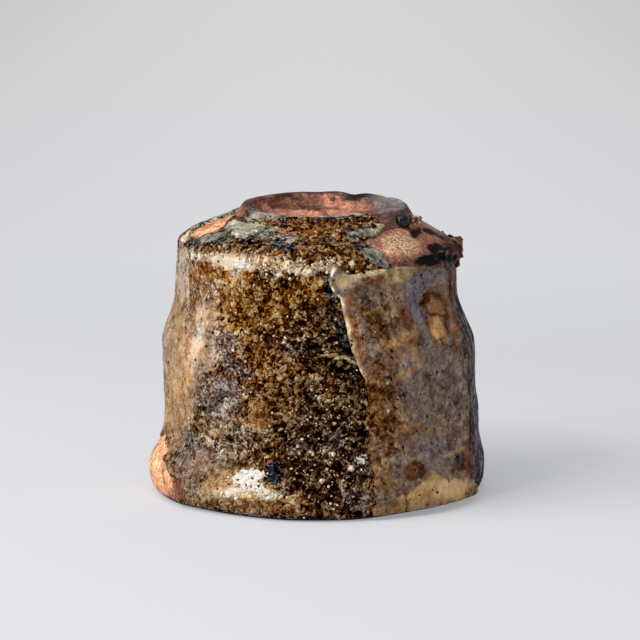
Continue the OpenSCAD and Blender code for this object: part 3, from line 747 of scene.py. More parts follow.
AMBER_FRONTS = [
    # the wall's left side
    # the facet's tan at (176, 360) is partly glaze colour and partly painted reflection of the lamp on the left; the
    # grey strip at (163.5, 350) and the lavender at (172, 330) along the silhouette are painted reflection
    (176, 360, 20, 90, 0, (183, 148, 110), 0.9), (163.5, 350, 3.5, 60, 0, (132, 126, 128), 0.9, 1.2),
    (172, 330, 4, 60, 3, LAVENDER * 1.2, 0.5), (204, 330, 16, 50, 8, (176, 144, 118), 0.85),
    # (184, 272) and (190, 286) are painted highlights on the far-left edge
    (214, 300, 22, 24, 0, (176, 132, 86), 0.85), (184, 272, 4.5, 28, 0, (188, 172, 162), 0.8),
    (190, 286, 1.6, 18, 0, CREAM, 0.7), (213, 286, 8, 6, 20, LAVENDER * 0.8, 0.7),
    # (204, 322) and (197, 350) are painted highlights along the left ridge
    (204, 322, 6, 24, 6, (232, 206, 182), 0.9), (197, 350, 5, 24, 12, (222, 190, 164), 0.85),
    (188, 390, 5, 22, 6, TAN * 1.2, 0.8), (222, 342, 22, 14, 35, (112, 92, 78), 0.8),
    (219, 398, 24, 22, 10, (122, 102, 90), 0.9), (226, 442, 34, 20, 0, (120, 92, 66), 0.85),
    (190, 455, 12, 26, 0, (104, 92, 86), 0.85), (206, 470, 22, 22, 0, (140, 114, 98), 0.8),
    (214, 492, 26, 8, 8, (176, 146, 118), 0.8), (182, 410, 6, 30, 4, TAN * 0.9, 0.8),
    (262, 414, 13, 18, 10, TAN, 0.95), (300, 392, 22, 12, 0, SLATE * 0.8, 0.5), (240, 372, 16, 7, 20, SLATE, 0.6),
    # the gold middle and the dark field left of the seam, with painted shadow in the seam's groove
    (262, 296, 60, 22, 0, GOLD, 0.75), (240, 318, 30, 16, 0, GOLD * 1.1, 0.7),
    (300, 318, 26, 12, 0, AMBER * 1.1, 0.7), (318, 345, 40, 36, 20, UMBER * 1.05, 0.75),
    # (348, 345) is painted shadow in the groove left of the seam
    (341, 350, 17, 48, -14, UMBER * 0.6, 0.9), (348, 345, 8, 42, -16, SOOT * 0.8, 0.97),
    (310, 428, 50, 38, 0, UMBER * 0.95, 0.85), (350, 425, 18, 60, 0, UMBER * 0.75, 0.85),
    (322, 480, 46, 24, 0, UMBER * 0.9, 0.8), (283, 385, 20, 30, 0, AMBER, 0.7), (300, 352, 20, 8, -8, SOOT, 0.5),
    (336, 357, 15, 1.8, 9, CREAM * 0.8, 0.85, 0.3), (352, 362, 6, 1.4, 20, CREAM * 0.7, 0.7, 0.3),
    # (245, 480) and (250, 493) are the tan and cream halo of a painted highlight on the low front-left
    (334, 318, 12, 8, 0, UMBER, 0.6), (320, 296, 14, 9, -20, GOLD, 0.7), (245, 480, 32, 15, 0, TAN, 0.85),
    (246, 463, 20, 4, 0, UMBER, 0.7), (274, 476, 10.5, 13, 0, (22, 30, 40), 0.97, 0.5),
    (296, 470, 14, 8, 0, UMBER, 0.6), (250, 493, 30, 5, 6, CREAM * 0.85, 0.9),
    (222, 505, 44, 8, 6, (130, 98, 64), 0.9), (286, 505, 26, 9, 4, (130, 94, 52), 0.85),
    (330, 512, 30, 5, 0, OLIVE, 0.7), (352, 502, 16, 12, 0, SLATE * 1.1, 0.75), (362, 470, 8, 12, 0, SLATE, 0.6),
    (334, 442, 14, 9, 0, SLATE * 0.8, 0.5), (300, 446, 12, 7, 0, SLATE * 0.7, 0.5),
    # the hip's corner and slope
    (210, 219, 27, 3.5, -29, (146, 142, 138), 0.9, 0.5), (272, 232, 14, 9, -8, (122, 122, 104), 0.8),
    (286, 239, 11, 6, -10, (92, 100, 94), 0.75), (240, 278, 30, 9, 4, (168, 124, 72), 0.8),
    # (194, 254) and (234, 262.5) are a painted highlight on the hip's corner, which runs on to the right, fainter,
    # in (266, 262), (300, 268) and (328, 262)
    (203, 270, 13, 10, 0, (146, 98, 50), 0.8), (194, 254, 9, 5, 8, CREAM * 0.8, 0.7, 1.2),
    (234, 262.5, 24, 7, 9, (232, 212, 186), 0.95, 0.9), (208, 267, 10, 6, 0, COPPER * 1.2, 0.6),
    (266, 262, 22, 5, 4, TAN, 0.8), (300, 268, 30, 7, 3, TAN * 0.85, 0.75), (328, 262, 10, 6, 0, TAN * 0.8, 0.6),
    # (276, 276) is the painted shadow of a stone
    (276, 276, 7, 4, 0, SLATE * 0.7, 0.8), (322, 284, 26, 8, 10, GOLD, 0.6), (250, 246, 44, 6, 3, UMBER, 0.85),
    (210, 243, 24, 4, -6, SOOT * 2.4, 0.9), (276, 246, 7, 4.5, 0, SOOT, 0.95, 0.4),
    (290, 250, 6, 4, 0, SOOT, 0.95, 0.4), (304, 242, 5, 3, 0, SOOT, 0.95, 0.4),
    (327, 241, 5, 4, 0, SOOT, 0.95, 0.4), (300, 230, 36, 10, 0, COPPER * 1.3, 0.8),
    (283, 221, 5, 3, 0, SOOT * 1.6, 0.8), (340, 256, 18, 8, 10, GOLD, 0.6),
    (352, 234, 7, 9, 20, SLATE * 0.8, 0.9), (371, 256, 20, 5, 40, SLATE * 0.6, 0.95),
    # (347, 273.5) is a painted shadow under the straw coat's lapped edge
    (346, 267, 14, 4, 0, GOLD * 1.4, 0.7), (347, 273.5, 8, 1.5, 0, SOOT * 0.6, 0.95, 0.4),
    (362, 262, 12, 5, 10, GOLD * 1.2, 0.7), (349, 229, 5, 8, 0, SLATE * 0.7, 0.8),
    # (329, 283), (336, 300) and (331, 290) are painted shadow in the groove left of the seam's curl
    (329, 283, 4, 16, -6, SOOT * 0.8, 0.97, 0.4), (336, 300, 5, 6, 0, SOOT, 0.9, 0.4),
    (331, 290, 7, 10, 0, SOOT * 1.6, 0.8), (262, 236, 16, 5, -8, MOSS * 0.8, 0.6),
]
# Where its crystals show less, and where it turns milky white, which is mostly painted highlight on the hip's
# corner, the low front-left, the left ridge and a few glints, while low amounts add specks and pores: x, y, half
# width, half height, tilt, amount
AMBER_GRAIN = [
    (176, 360, 20, 90, 0, 0.32), (200, 340, 16, 54, 8, 0.5), (219, 398, 24, 24, 10, 0.75),
    (206, 470, 26, 28, 0, 0.5), (236, 503, 50, 9, 4, 0.5), (246, 480, 24, 16, 0, 0.5), (274, 476, 9, 11, 0, 0.5),
    (262, 414, 10, 15, 10, 0.5), (234, 262.5, 23, 6.5, 9, 0.3), (203, 270, 14, 12, 0, 0.6),
    (338, 334, 12, 26, -14, 0.72), (184, 275, 6, 30, 0, 0.4), (226, 507, 40, 6, 3, 0.7),
]
AMBER_MILK_AND_HIGHLIGHTS = [
    (196, 256, 10, 4, 10, 0.5), (235, 263, 22, 6, 9, 0.42), (244, 264.5, 8, 3, 9, 0.85),
    (262, 262, 14, 4, 6, 0.42), (300, 266, 26, 6, 3, 0.3), (326, 262, 8, 4, 0, 0.32),
    (251, 476.5, 18, 6.5, -4, 0.79), (254, 489, 18, 7, 8, 0.74), (234, 494, 12, 5, 0, 0.5),
    (240, 493, 16, 4, 4, 0.5), (262, 495, 13, 3.5, 8, 0.42), (219, 445, 5, 9, -20, 0.45),
    (202, 330, 3.5, 32, 9, 0.3), (262, 414, 6, 9, 10, 0.3), (341, 429, 4, 4, 0, 0.5), (318, 461, 6, 5, 0, 0.45),
    (361, 461, 6, 5.5, 0, 0.75), (223, 398, 9, 11, 20, 0.3), (210, 288, 6, 12, 0, 0.25),
    (290, 340, 24, 16, 0, 0.16), (320, 430, 40, 40, 0, 0.12),
]


def amber_thickness(sheet):
    t = AMBER_T + 0.1 * sheet.rough(3.2, 21) + 0.06 * sheet.rough(1.1, 22, 2)
    t = cut(t + 0.5 * smooth((sheet.place - 2.72) / 0.28), off_table(sheet), 0.35)
    tongue = (sheet.x - np.interp(sheet.y, AMBER_END_Y, AMBER_END_X)) / PX_PER_MM - 0.6 * sheet.ripple(1.6, 23)
    wall = np.minimum(seam_offset(sheet), np.maximum(tongue + OVERLAP, -over_straw(sheet))) - OVERLAP
    past = np.where(np.abs(sheet.azimuth) < 90, np.where(sheet.place > 2.02, tongue, wall), -9)
    return mix(cut(t, fade(past, 1.0), 0.4), -0.35, bare_clay(sheet))


def amber_coat(material):
    """The speckled amber glaze of the front, the left side and the back."""
    start, end = arc_of(BACK) - 1.5, arc_of(SEAM + N_FACETS) + 9
    sheet = Sheet(spread(start, end, 0.35), spread(0.6, PATH_END, 0.34))
    mottle = np.clip(1 + 0.3 * sheet.rough(5, 24) + 0.3 * sheet.rough(2, 26, 2), 0.3, 2)
    tint = sheet.paint(AMBER, AMBER_ROUNDS, AMBER_FRONTS) * 1.1 * mottle[..., None]
    front = smooth(sheet.facing / 0.12)
    wall = smooth((sheet.y - 272) / 12) * front
    right = smooth((sheet.x - 236) / 24)
    left = smooth((sheet.x - 207) / 12) * smooth((256 - sheet.x) / 24) * smooth((470 - sheet.y) / 30)
    warm = lay(np.array([0.92, 0.8, 0.56]), np.array([0.88, 0.8, 0.76]), smooth((sheet.y - 405) / 30))
    tint = lay(tint, tint * warm, wall * right)
    tint = lay(tint, tint * [1.2, 1.36, 1.65], wall * left)
    hip = smooth((266 - sheet.y) / 12) * smooth(tint.mean(-1) / 0.03)
    tint = lay(tint, tint * [1.3, 1.45, 2.0], front * hip * right)
    # with painted contact shadow along the lip
    tint = lip_contact_shadow(lay(tint, UMBER, 0.6 * bell((bare_lip(sheet) - 1.08) / 0.09)), sheet)
    grain = sheet.level(1.0, [(180, 30, 60, 30, 0.85), (-101, 24, 18, 20, 0.36)], AMBER_GRAIN)
    # Its milky white patches are mostly painted highlights
    frost = sheet.level(0, [], AMBER_MILK_AND_HIGHLIGHTS)
    frost = np.where(sheet.facing < 0.05, 0.15 * smooth(sheet.rough(6, 25)), frost)
    return glaze_coat(
        "amber_coat", material, sheet, amber_thickness(sheet),
        tint=tint, grain=grain, gloss=0.3 * (frost > 0.5), frost=frost,
    )


# Ovals of colour on the straw glaze in front, and how far its crystals show
STRAW_FRONTS = [
    (430, 400, 40, 70, 0, (110, 95, 88), 0.75), (416, 300, 14, 26, 0, BLUE_GREY * 1.15, 0.8),
    (440, 290, 16, 12, 0, HEATHER, 0.7), (450, 283, 14, 8, 0, RUST * 0.8, 0.5),
    (372, 300, 26, 26, 20, OLIVE * 0.75, 0.85), (380, 331, 16, 14, 0, UMBER * 1.5, 0.8),
    (365, 290, 12, 10, 0, SOOT * 3, 0.5), (392, 296, 10, 14, 0, TAUPE * 1.3, 0.5),
    (345, 281, 10, 8, -10, (172, 154, 124), 0.95), (366, 273, 26, 3, -12, (166, 144, 112), 0.95, 0.5),
    (398, 274, 15, 7, -8, (160, 138, 102), 0.9), (371, 279, 20, 2.4, -12, (96, 58, 34), 0.9, 0.5),
    (388, 279, 8, 2, 20, (120, 84, 48), 0.7), (370, 298, 14, 10, 0, (96, 82, 74), 0.8),
    (387, 289, 8, 8, 0, (112, 98, 88), 0.6), (372, 300, 5, 6, 0, (80, 60, 50), 0.7),
    (384, 296, 1.4, 10, -8, (140, 120, 100), 0.5), (436, 274, 14, 5, 0, BLUE_GREY, 0.7),
    (434, 278, 4, 3, 0, TAN * 0.7, 0.6), (418, 284, 10, 8, 0, BLUE_GREY * 0.9, 0.6),
    (448, 280, 2, 14, -4, COPPER * 1.3, 0.8), (454, 284, 3, 22, -6, (110, 66, 58), 0.8),
    (451, 272, 1.6, 10, 0, SOOT, 0.8), (458, 292, 1.6, 24, -6, (150, 130, 124), 0.7),
    (405, 330, 5, 24, -6, RUST, 0.75), (398, 350, 5, 14, 10, COPPER, 0.6), (412, 350, 4, 18, -4, TAN * 0.8, 0.5),
    (392, 343, 22, 4.5, -22, TAN * 0.85, 0.8), (405, 372, 26, 4, -30, TAN * 0.75, 0.55),
    (384, 365, 14, 10, 0, AMBER, 0.5), (380, 414, 22, 40, 0, (84, 56, 26), 0.9),
    (398, 440, 12, 16, 0, AMBER, 0.5), (376, 470, 14, 22, 0, OLIVE * 0.9, 0.7), (372, 400, 10, 30, 0, GOLD, 0.5),
    (440, 378, 26, 4, 28, HEATHER * 1.3, 0.55), (430, 395, 24, 3.4, 32, HEATHER * 1.3, 0.55),
    (452, 360, 12, 4, 40, HEATHER * 1.35, 0.5), (410, 425, 20, 8, 20, OLIVE * 1.1, 0.5),
    (446, 428, 18, 12, 0, TAUPE * 1.15, 0.5), (430, 303, 11, 17, -38, (84, 44, 18), 0.97, 0.4),
    (434, 328, 10, 18, -14, (98, 56, 24), 0.95, 0.4), (432, 306, 7, 11, -34, (148, 108, 74), 0.95, 0.8),
    (434, 328, 7, 14, -14, (166, 130, 94), 0.95, 0.7), (423, 298, 4, 5, -30, (70, 38, 18), 0.8),
    (432, 316, 8, 1.6, 14, (74, 40, 20), 0.85), (443, 318, 2, 12, -6, (74, 40, 22), 0.7),
    (433, 331, 2.4, 8, -10, (206, 156, 106), 0.7), (448, 306, 1.6, 34, -2, (150, 96, 64), 0.8, 0.4),
    (453, 330, 2.5, 30, 0, COPPER, 0.7), (460, 345, 4, 30, 4, SLATE, 0.6), (450, 300, 3, 18, 0, RUST, 0.6),
    (424, 340, 3, 20, 0, SLATE, 0.4), (413, 471, 11, 11, 0, UMBER * 1.3, 0.95, 0.25),
    (411, 473, 7, 7, 0, RUST * 0.75, 0.7), (396, 466, 5, 9, 0, SLATE * 0.8, 0.6),
    (386, 485, 16, 7, 0, OLIVE, 0.6), (425, 450, 14, 8, 0, BLUE_GREY, 0.4),
    (453, 452, 10, 1.5, -26, TAN, 0.8, 0.8), (457, 464, 9, 8, -30, SOOT * 1.6, 0.9),
    (452, 470, 5, 6, 0, RUST * 0.8, 0.8), (466, 455, 3.5, 24, 3, RUST, 0.85), (471, 450, 2.4, 24, 3, SOOT, 0.9),
    (475, 440, 2.5, 26, 3, RUST, 0.7),
]
STRAW_GRAIN = [
    (380, 420, 26, 60, 0, 1.0), (375, 320, 22, 28, 0, 0.9), (372, 268, 36, 5, -7, 0.8),
    (433, 315, 11, 28, 0, 0.4), (413, 471, 11, 11, 0, 0.4), (450, 400, 24, 70, 0, 0.6),
]


# Heights above which the straw coat's edge at the seam is thick, curls up, and is clear of the pale line
THICK_Z, CURL_Z, LINE_END_Z = 27, 41, 44


def straw_coat(material):
    """The grey-lavender glaze whose thick edge laps over the amber at the seam."""
    seam_arc, edge_arc = arc_of(SEAM), arc_of(EDGE)
    arcs = [spread(seam_arc - 6.5, seam_arc + 4, 0.16), spread(seam_arc + 4, edge_arc + 1.6, 0.26)[1:]]
    sheet = Sheet(np.concatenate(arcs), spread(0.6, path_of(2.22), 0.27))
    d, z = seam_offset(sheet), sheet.height
    high = smooth((z - THICK_Z) / 6)
    knots = sheet.ripple(1.2, 31)
    curl = high * (0.3 + 0.7 * smooth((z - CURL_Z - 1) / 2))
    curl = curl * (1 + 0.7 * knots + 0.5 * smooth((z - CURL_Z) / 2) * sheet.ripple(0.6, 44))
    full = mix(0.5, STRAW_T, high) + 0.1 * sheet.rough(3, 32) + 0.07 * sheet.rough(1, 33, 2)
    chatter = 0.16 * np.sin(2.1 * (sheet.azimuth * 0.52 + 0.35 * z) + 2 * sheet.ripple(6, 38)) * smooth((z - 14) / 8)
    full = full + chatter * smooth((d - 4) / 4) + curl * bell((d - 0.5) / 0.7)
    # A low ring stands up round the scorch mark
    outer, inner = (sheet.spot(431, 304, *size, -36, 41, 0.3) for size in ((11, 17), (8, 14)))
    full = full + 0.25 * (outer - inner) + 0.3 * bell((sheet.blob(392, 343, 26, 9, -22, 42) - 0.8) / 0.3)
    width = mix(1.8, 0.55, high)
    lap = np.sqrt(np.clip(1 - (1 - np.clip(d, 0, width) / width) ** 2, 0, 1))
    t = cut(np.where(d < 0, -0.5, mix(0.1, full, lap)), off_table(sheet))
    t = cut(t, fade(sheet.arc - edge_arc - 0.5 * sheet.ripple(4, 34), 1.2), 0.4)
    t = cut(t, fade(over_straw(sheet) + 0.25 * sheet.ripple(1.5, 35), 0.8))
    tint = sheet.paint(linear(108, 89, 77), [], STRAW_FRONTS, 200)
    broken = smooth(0.5 + 2.2 * sheet.ripple(1.8, 39))
    upper = smooth((z - THICK_Z + 1) / 3) * smooth((LINE_END_Z - z) / 2) * mix(0.45, 0.95, broken)
    lower = 0.7 * broken * smooth((12 - z) / 5) * bell((d - 0.25) / 0.2)
    top = smooth((z - CURL_Z) / 1.2) * bell((d - 0.35 - 0.3 * knots) / 0.26)
    top = top * smooth(0.5 + 1.8 * sheet.ripple(0.75, 40))
    line = np.clip(upper * bell((d - 0.5) / mix(0.3, 0.62, high)) + lower + top, 0, 1)
    # The pale line is the glaze breaking thin over the lapped edge; the chalk white at the curl's top is a painted
    # highlight.
    pale = lay(HONEY * 0.8, CREAM * 0.8, smooth(0.9 - d + 0.8 * knots))
    pale = lay(pale, CHALK * 0.72, smooth((z - CURL_Z - 0.5) / 2))
    burnt = high * bell((d - 1.6) / 0.5) * smooth(0.75 + sheet.ripple(1.5, 36)) * smooth((LINE_END_Z - z) / 3)
    # with painted contact shadow along the lip
    tint = lip_contact_shadow(lay(lay(tint, pale, line), COPPER * 1.4, 0.85 * burnt), sheet)
    streaks = sheet.ripple(1.5, 47, (1, 1, 0.22)) + 0.7 * sheet.ripple(0.7, 48, (1, 1, 0.3))
    cells = sheet.rough(2.6, 49, 2)
    rings = bell((cells - 0.25) / 0.1) - 0.8 * bell((cells - 0.02) / 0.12)
    tint = tint * 1.5 * (1 + 0.16 * sheet.rough(5, 37) + 0.15 * streaks + 0.32 * rings)[..., None]
    # The curl's top also turns milky white as part of that painted highlight
    frost = 0.75 * line * smooth((z - CURL_Z + 1) / 3) + 0.3 * sheet.spot(372, 268, 36, 4, -7, 43, 0.4)
    return glaze_coat(
        "straw_coat", material, sheet, t,
        tint=tint, grain=mix(sheet.level(0.5, [], STRAW_GRAIN), 0.1, line), gloss=0.2, frost=frost,
    )


# Ovals of colour on the iron glaze, on the side and the back, then in front
IRON_ROUNDS = [
    (76, 40, 8, 5, TAUPE * 0.8, 0.6), (72, 30, 3, 10, RUST, 0.5), (70, 36, 2.5, 7, RUST, 0.7),
    (80, 44, 12, 3, TAUPE * 0.8, 0.5), (68, 11, 3, 7, RUST * 0.85, 0.85), (72, 9, 2.4, 6, SOOT, 0.9),
    (66, 9, 3, 3, SOOT * 1.6, 0.8), (78, 9, 5, 5, RUST * 0.7, 0.5), (90, 26, 6, 6, CELADON * 0.4, 0.4),
    (95, 12, 12, 8, BLUE_GREY * 0.6, 0.6), (110, 38, 14, 8, RUST * 0.7, 0.5), (125, 18, 12, 12, UMBER, 0.6),
    (120, 48, 20, 4, SLATE * 0.6, 0.7), (90, 51, 20, 2.5, SOOT * 1.4, 0.7),
]
IRON_FRONTS = [
    (455, 284, 6, 20, -6, (118, 76, 66), 0.9), (460, 292, 2, 24, -8, (156, 136, 130), 0.8),
    (452, 274, 4, 9, 0, (134, 90, 74), 0.85), (464, 306, 3, 12, -10, (128, 104, 100), 0.6),
    (472, 455, 3, 30, 3, (120, 76, 60), 0.85), (479, 440, 4, 40, 3, (88, 84, 92), 0.7),
]


def iron_coat(material):
    """The dark slate glaze of the right side, which breaks into blotches on the hip."""
    edge_arc, back_arc = arc_of(EDGE), arc_of(BACK)
    sheet = Sheet(spread(edge_arc - 2, back_arc + 2, 0.36), spread(0.6, PATH_END - 0.4, 0.36))
    t = IRON_T + 0.08 * sheet.rough(3.4, 42) + 0.035 * sheet.rough(1.2, 43, 2)
    left = edge_arc - OVERLAP - sheet.arc - 0.5 * sheet.ripple(4, 34)
    right = sheet.arc - back_arc - OVERLAP - 0.6 * sheet.ripple(3, 44)
    t = cut(cut(t, off_table(sheet), 0.4), fade(left, 1.2) * fade(right, 1.2))
    blotch = smooth(0.5 + 1.6 * sheet.rough(4, 45)) * smooth((sheet.azimuth - 100) / 20)
    t = np.where(sheet.place > 2, mix(t, cut(t, blotch, 0.3), smooth((sheet.place - 2) / 0.12)), t)
    tint = sheet.paint(SLATE * 0.7, IRON_ROUNDS, IRON_FRONTS, 400) * [0.9, 1.05, 1.25]
    tint = lay(tint, linear(96, 92, 98), 0.6 * smooth(sheet.rough(7, 49) + 0.2))
    streaks = sheet.ripple(2.4, 47, (1, 1, 0.15)) + 0.6 * sheet.ripple(1.1, 48, (1, 1, 0.25))
    tint = tint * np.clip(1 + 0.25 * sheet.rough(5, 46) + 0.35 * streaks, 0.3, 2)[..., None]
    # with painted contact shadow along the lip
    tint = lip_contact_shadow(tint, sheet)
    return glaze_coat("iron_coat", material, sheet, t, tint=tint, grain=0.4, gloss=0.3, frost=0)


# Ovals of colour on the lip roll
ROLL_FRONTS = [
    (448, 486, 26, 10, -6, (240, 202, 146), 0.95), (410, 492, 12, 5, -20, (196, 156, 104), 0.8),
    (432, 474, 9, 6, 0, TAN * 1.3, 0.8), (420, 490, 14, 6, -20, TAN * 1.3, 0.7),
    (386, 507, 16, 7, -6, TAN * 0.75, 0.7), (386, 503, 8, 3, 0, OLIVE, 0.6),
    (470, 492, 10, 9, -20, COPPER * 1.1, 0.7), (430, 508, 60, 4.5, -14, COPPER * 0.8, 0.7),
    (440, 512, 60, 3, -14, UMBER, 0.7), (404, 492, 4, 3, 0, SOOT, 0.9),
]


# The left end of the roll and the top of its crack in the front picture
ROLL_END_X, CRACK_X, CRACK_TOP_Y = 370, 404.5, 486


def lip_roll(material):
    """The tan roll of thick glaze at the lower right of the lip, with a wavy upper edge."""
    sheet = Sheet(spread(arc_of(SEAM) - 0.5, arc_of(EDGE) + 5.5, 0.24), spread(0.7, 13, 0.2))
    crest = np.interp(sheet.x + 2.5 * sheet.ripple(1.1, 56), CREST_X, CREST_Y)
    crest = np.where(sheet.azimuth > 74, CREST_Y[-1] + sheet.azimuth - 74, crest)
    under = (sheet.y - crest) / LIP_PX_PER_MM - 0.3 * sheet.ripple(1.4, 51)
    body = 0.5 + 0.65 * smooth(under / 2.8) + 0.14 * sheet.rough(2.6, 52) + 0.06 * sheet.rough(1, 55, 2)
    t = cut(body, fade(-under, 1.2) * smooth((sheet.path - 1.0) / 1.4) * smooth((sheet.x - ROLL_END_X) / 3))
    crack = bell((sheet.x - CRACK_X - 1.5 * sheet.ripple(1, 53)) / 1.3) * smooth((sheet.y - CRACK_TOP_Y) / 4)
    tint = sheet.paint(TAN, [], ROLL_FRONTS, 500)
    tint = lay(tint, linear(118, 94, 74), 0.85 * fade(under - 0.7 - 0.6 * sheet.ripple(1.2, 57), 1.4))
    tint = lay(tint * (1 + 0.1 * sheet.rough(3, 54))[..., None], UMBER * 0.8, 0.8 * crack)
    return glaze_coat("tan_lip_roll", material, sheet, t - 0.4 * crack, tint=tint, grain=0.35, gloss=0.15, frost=0)


# The pools of each side of the cup: the azimuths between which they lie, then x, y, half width, half height,
# tilt and depth of each in the front picture
POOLS = [
    (-78, -8, [(249, 229.5, 23, 12.5, -10, 1.0), (213, 239.5, 15, 4.2, -14, 0.4)]),
    (4, 50, [(368.5, 231.5, 17.5, 8.5, -12, 0.9), (375, 259, 18, 6.5, 30, 0.5)]),
]


def ash_pools(material):
    """Celadon pools on the hip, in one piece for each side of the cup."""
    all_points, all_faces, tints, frosts = [], [], [], []
    for low, high, pools in POOLS:
        arcs = spread(arc_at(low), arc_at(high), 0.22)
        sheet = Sheet(arcs, spread(path_of(1.93), PATH_END - 0.1, 0.2))
        t = np.full(sheet.height.shape, -0.6)
        depth = np.zeros(sheet.height.shape)
        for n, (*oval, level) in enumerate(pools):
            d = sheet.blob(*oval, 80 + n, 0.3)
            lump = AMBER_T + 0.05 + POOL_T * level * smooth((1.1 - d) / 0.5) + 0.08 * sheet.rough(1.4, 82, 2)
            t = np.maximum(t, cut(lump, fade(d - 1, 0.25), 0.6))
            depth = np.maximum(depth, level ** 0.8 * smooth((0.97 - d) / 0.2))
        tint = lay(SOOT * 2, linear(172, 172, 154), smooth(depth + 0.25 * sheet.ripple(1.2, 83)))
        # Paler patches at the pools' edges are painted highlights
        left_pool_highlight, right_pool_highlight = sheet.blob(236, 222, 10, 6, -20, 84), sheet.blob(374, 231, 12, 7, -10, 84)
        tint = lay(tint, linear(198, 194, 168), 0.75 * fade(left_pool_highlight - 1, 0.6))
        tint = lay(tint, linear(176, 166, 126), 0.8 * fade(right_pool_highlight - 1, 0.6))
        bluer = smooth(sheet.ripple(1.8, 85) * 1.6 + 0.2 * smooth((sheet.x - 250) / 10))
        tint = lay(tint, BLUE_GREY * 1.2, 0.75 * bluer)
        tint = lay(tint, BRONZE, 0.5 * smooth(sheet.ripple(1.0, 86) * 2 - 0.3))
        points, faces = shell(sheet.above(t), sunk(sheet), STRIDE)
        start = sum(map(len, all_points))
        all_faces += [[i + start for i in f] for f in faces]
        all_points.append(points)
        tints.append(with_inside(tint, STRIDE))
        frosts.append(with_inside(0.2 * depth, STRIDE))
    return set_object(
        "celadon_pools", np.concatenate(all_points), all_faces, material,
        grain=0.7, gloss=0.4, tint=np.concatenate(tints), frost=np.concatenate(frosts),
    )


def kiln_crust(material):
    """Scorched lumps along the right of the hip, with a flake that hangs out over the wall."""
    sheet = Sheet(spread(arc_at(48.0), arc_at(124.0), 0.24), spread(path_of(1.86), path_of(2.55), 0.22))

    def patch(azimuth, place, wide, high, seed, wander, softness):
        off = np.hypot((sheet.azimuth - azimuth) / wide, (sheet.place - place) / high)
        return fade(sheet.wandering(off, seed, wander) - 1, softness)

    cover = patch(86, 2.06, 27, 0.14, 102, 0.3, 0.3)
    flake = patch(88, 2.02, 9, 0.055, 103, 0.15, 0.35)
    knob = patch(86, 2.1, 10, 0.08, 111, 0.2, 0.5)
    lumpy = np.clip(0.5 + 0.9 * sheet.rough(2.4, 101), 0, 1.3)
    points = sheet.above(cut(0.35 + 0.95 * lumpy, cover, 0.6) + 0.5 * flake)
    points[..., 2] -= 0.5 * flake + 0.35 * cover * sheet.ripple(1.2, 104)
    points = points + 0.35 * knob[..., None] * (sheet.out + np.array([0, 0, 0.6]))
    points = points + 0.22 * cover[..., None] * stack(*(sheet.ripple(0.8, 105 + i) for i in range(3)))
    tint = lay(BRICK * 0.8, SCORCH * 0.5, smooth(0.5 + sheet.rough(2, 108)))
    tint = lay(tint, linear(112, 84, 82), 0.8 * smooth(sheet.ripple(2.1, 112) * 2))
    tint = lay(tint, SOOT * 0.4, smooth(sheet.ripple(1.5, 109) * 2.4 + 0.25))
    tint = lay(tint, SALMON * 0.7, 0.6 * smooth(sheet.ripple(1.1, 110) * 2 - 0.5))
    return coat("hip_crust", material, points, sunk(sheet), tint=tint, grain=1.0, gloss=0.1)


FOOT_EDGE = 0.7
# Stages of the foot ring's section, from its outer base over the top and down the well:
# share of the way, radius, height over the seat, share of the shift from the ring's axis to the well's
FOOT_STAGES = np.array([
    (0.0, FOOT_BASE_R + 0.9, -0.5, 0), (0.1, FOOT_BASE_R + 0.1, 0.15, 0), (0.25, FOOT_R + 0.35, 1.3, 0),
    (0.38, FOOT_R, FOOT_H - FOOT_EDGE, 0), (0.42, FOOT_R - 0.2, FOOT_H - 0.2, 0),
    (0.46, FOOT_R - FOOT_EDGE, FOOT_H, 0), (0.62, WELL_R + 0.5, FOOT_H, 1), (0.67, WELL_R + 0.1, FOOT_H - 0.15, 1),
    (0.71, WELL_R - 0.05, FOOT_H - 0.6, 1), (0.9, DISH_R + 0.25, 0.3, 1), (0.95, DISH_R - 0.2, 0.0, 1),
    (1.0, DISH_R - 0.9, -0.25, 1),
])


def foot_section(turn, n_rows=60):
    """Rings of the crescent foot at some turns, and the share of the way of each."""
    v = np.linspace(0, 1, n_rows)[:, None]
    r, h, to_well = (np.interp(v, FOOT_STAGES[:, 0], FOOT_STAGES[:, i]) for i in (1, 2, 3))
    azimuth = turn[None, :]
    a = np.radians(azimuth)
    points = stack(mix(FOOT_SHIFT, WELL_SHIFT, to_well) + r * np.sin(a), -r * np.cos(a), SEAT_Z + h)
    top = bell((v - 0.54) / 0.2)
    wear = 0.5 * ripple(points * np.array([1, 1, 0.2]), 5, 121) + 0.25 * ripple(points, 2, 122)
    front = smooth((turned(azimuth, 0) + 88) / 34) * smooth((52 - turned(azimuth, 0)) / 30)
    notches = bell((azimuth - 158) / 6) + 0.8 * bell((azimuth - 130) / 4)
    points[..., 2] += top * (0.3 * wear - 0.22 - 0.8 * bell(turned(azimuth, 88) / 26) - 0.55 * notches)
    points[..., 2] -= 1.05 * front * smooth((v - 0.12) / 0.26) * smooth((0.9 - v) / 0.24)
    bulge = 0.28 * rough(points, 3, 123) * (1 - 0.3 * top) * smooth(v / 0.1) * smooth((1 - v) / 0.1)
    return points + stack(np.sin(a), -np.cos(a), 0) * (bulge * np.where(v < 0.54, 1, -1))[..., None], v


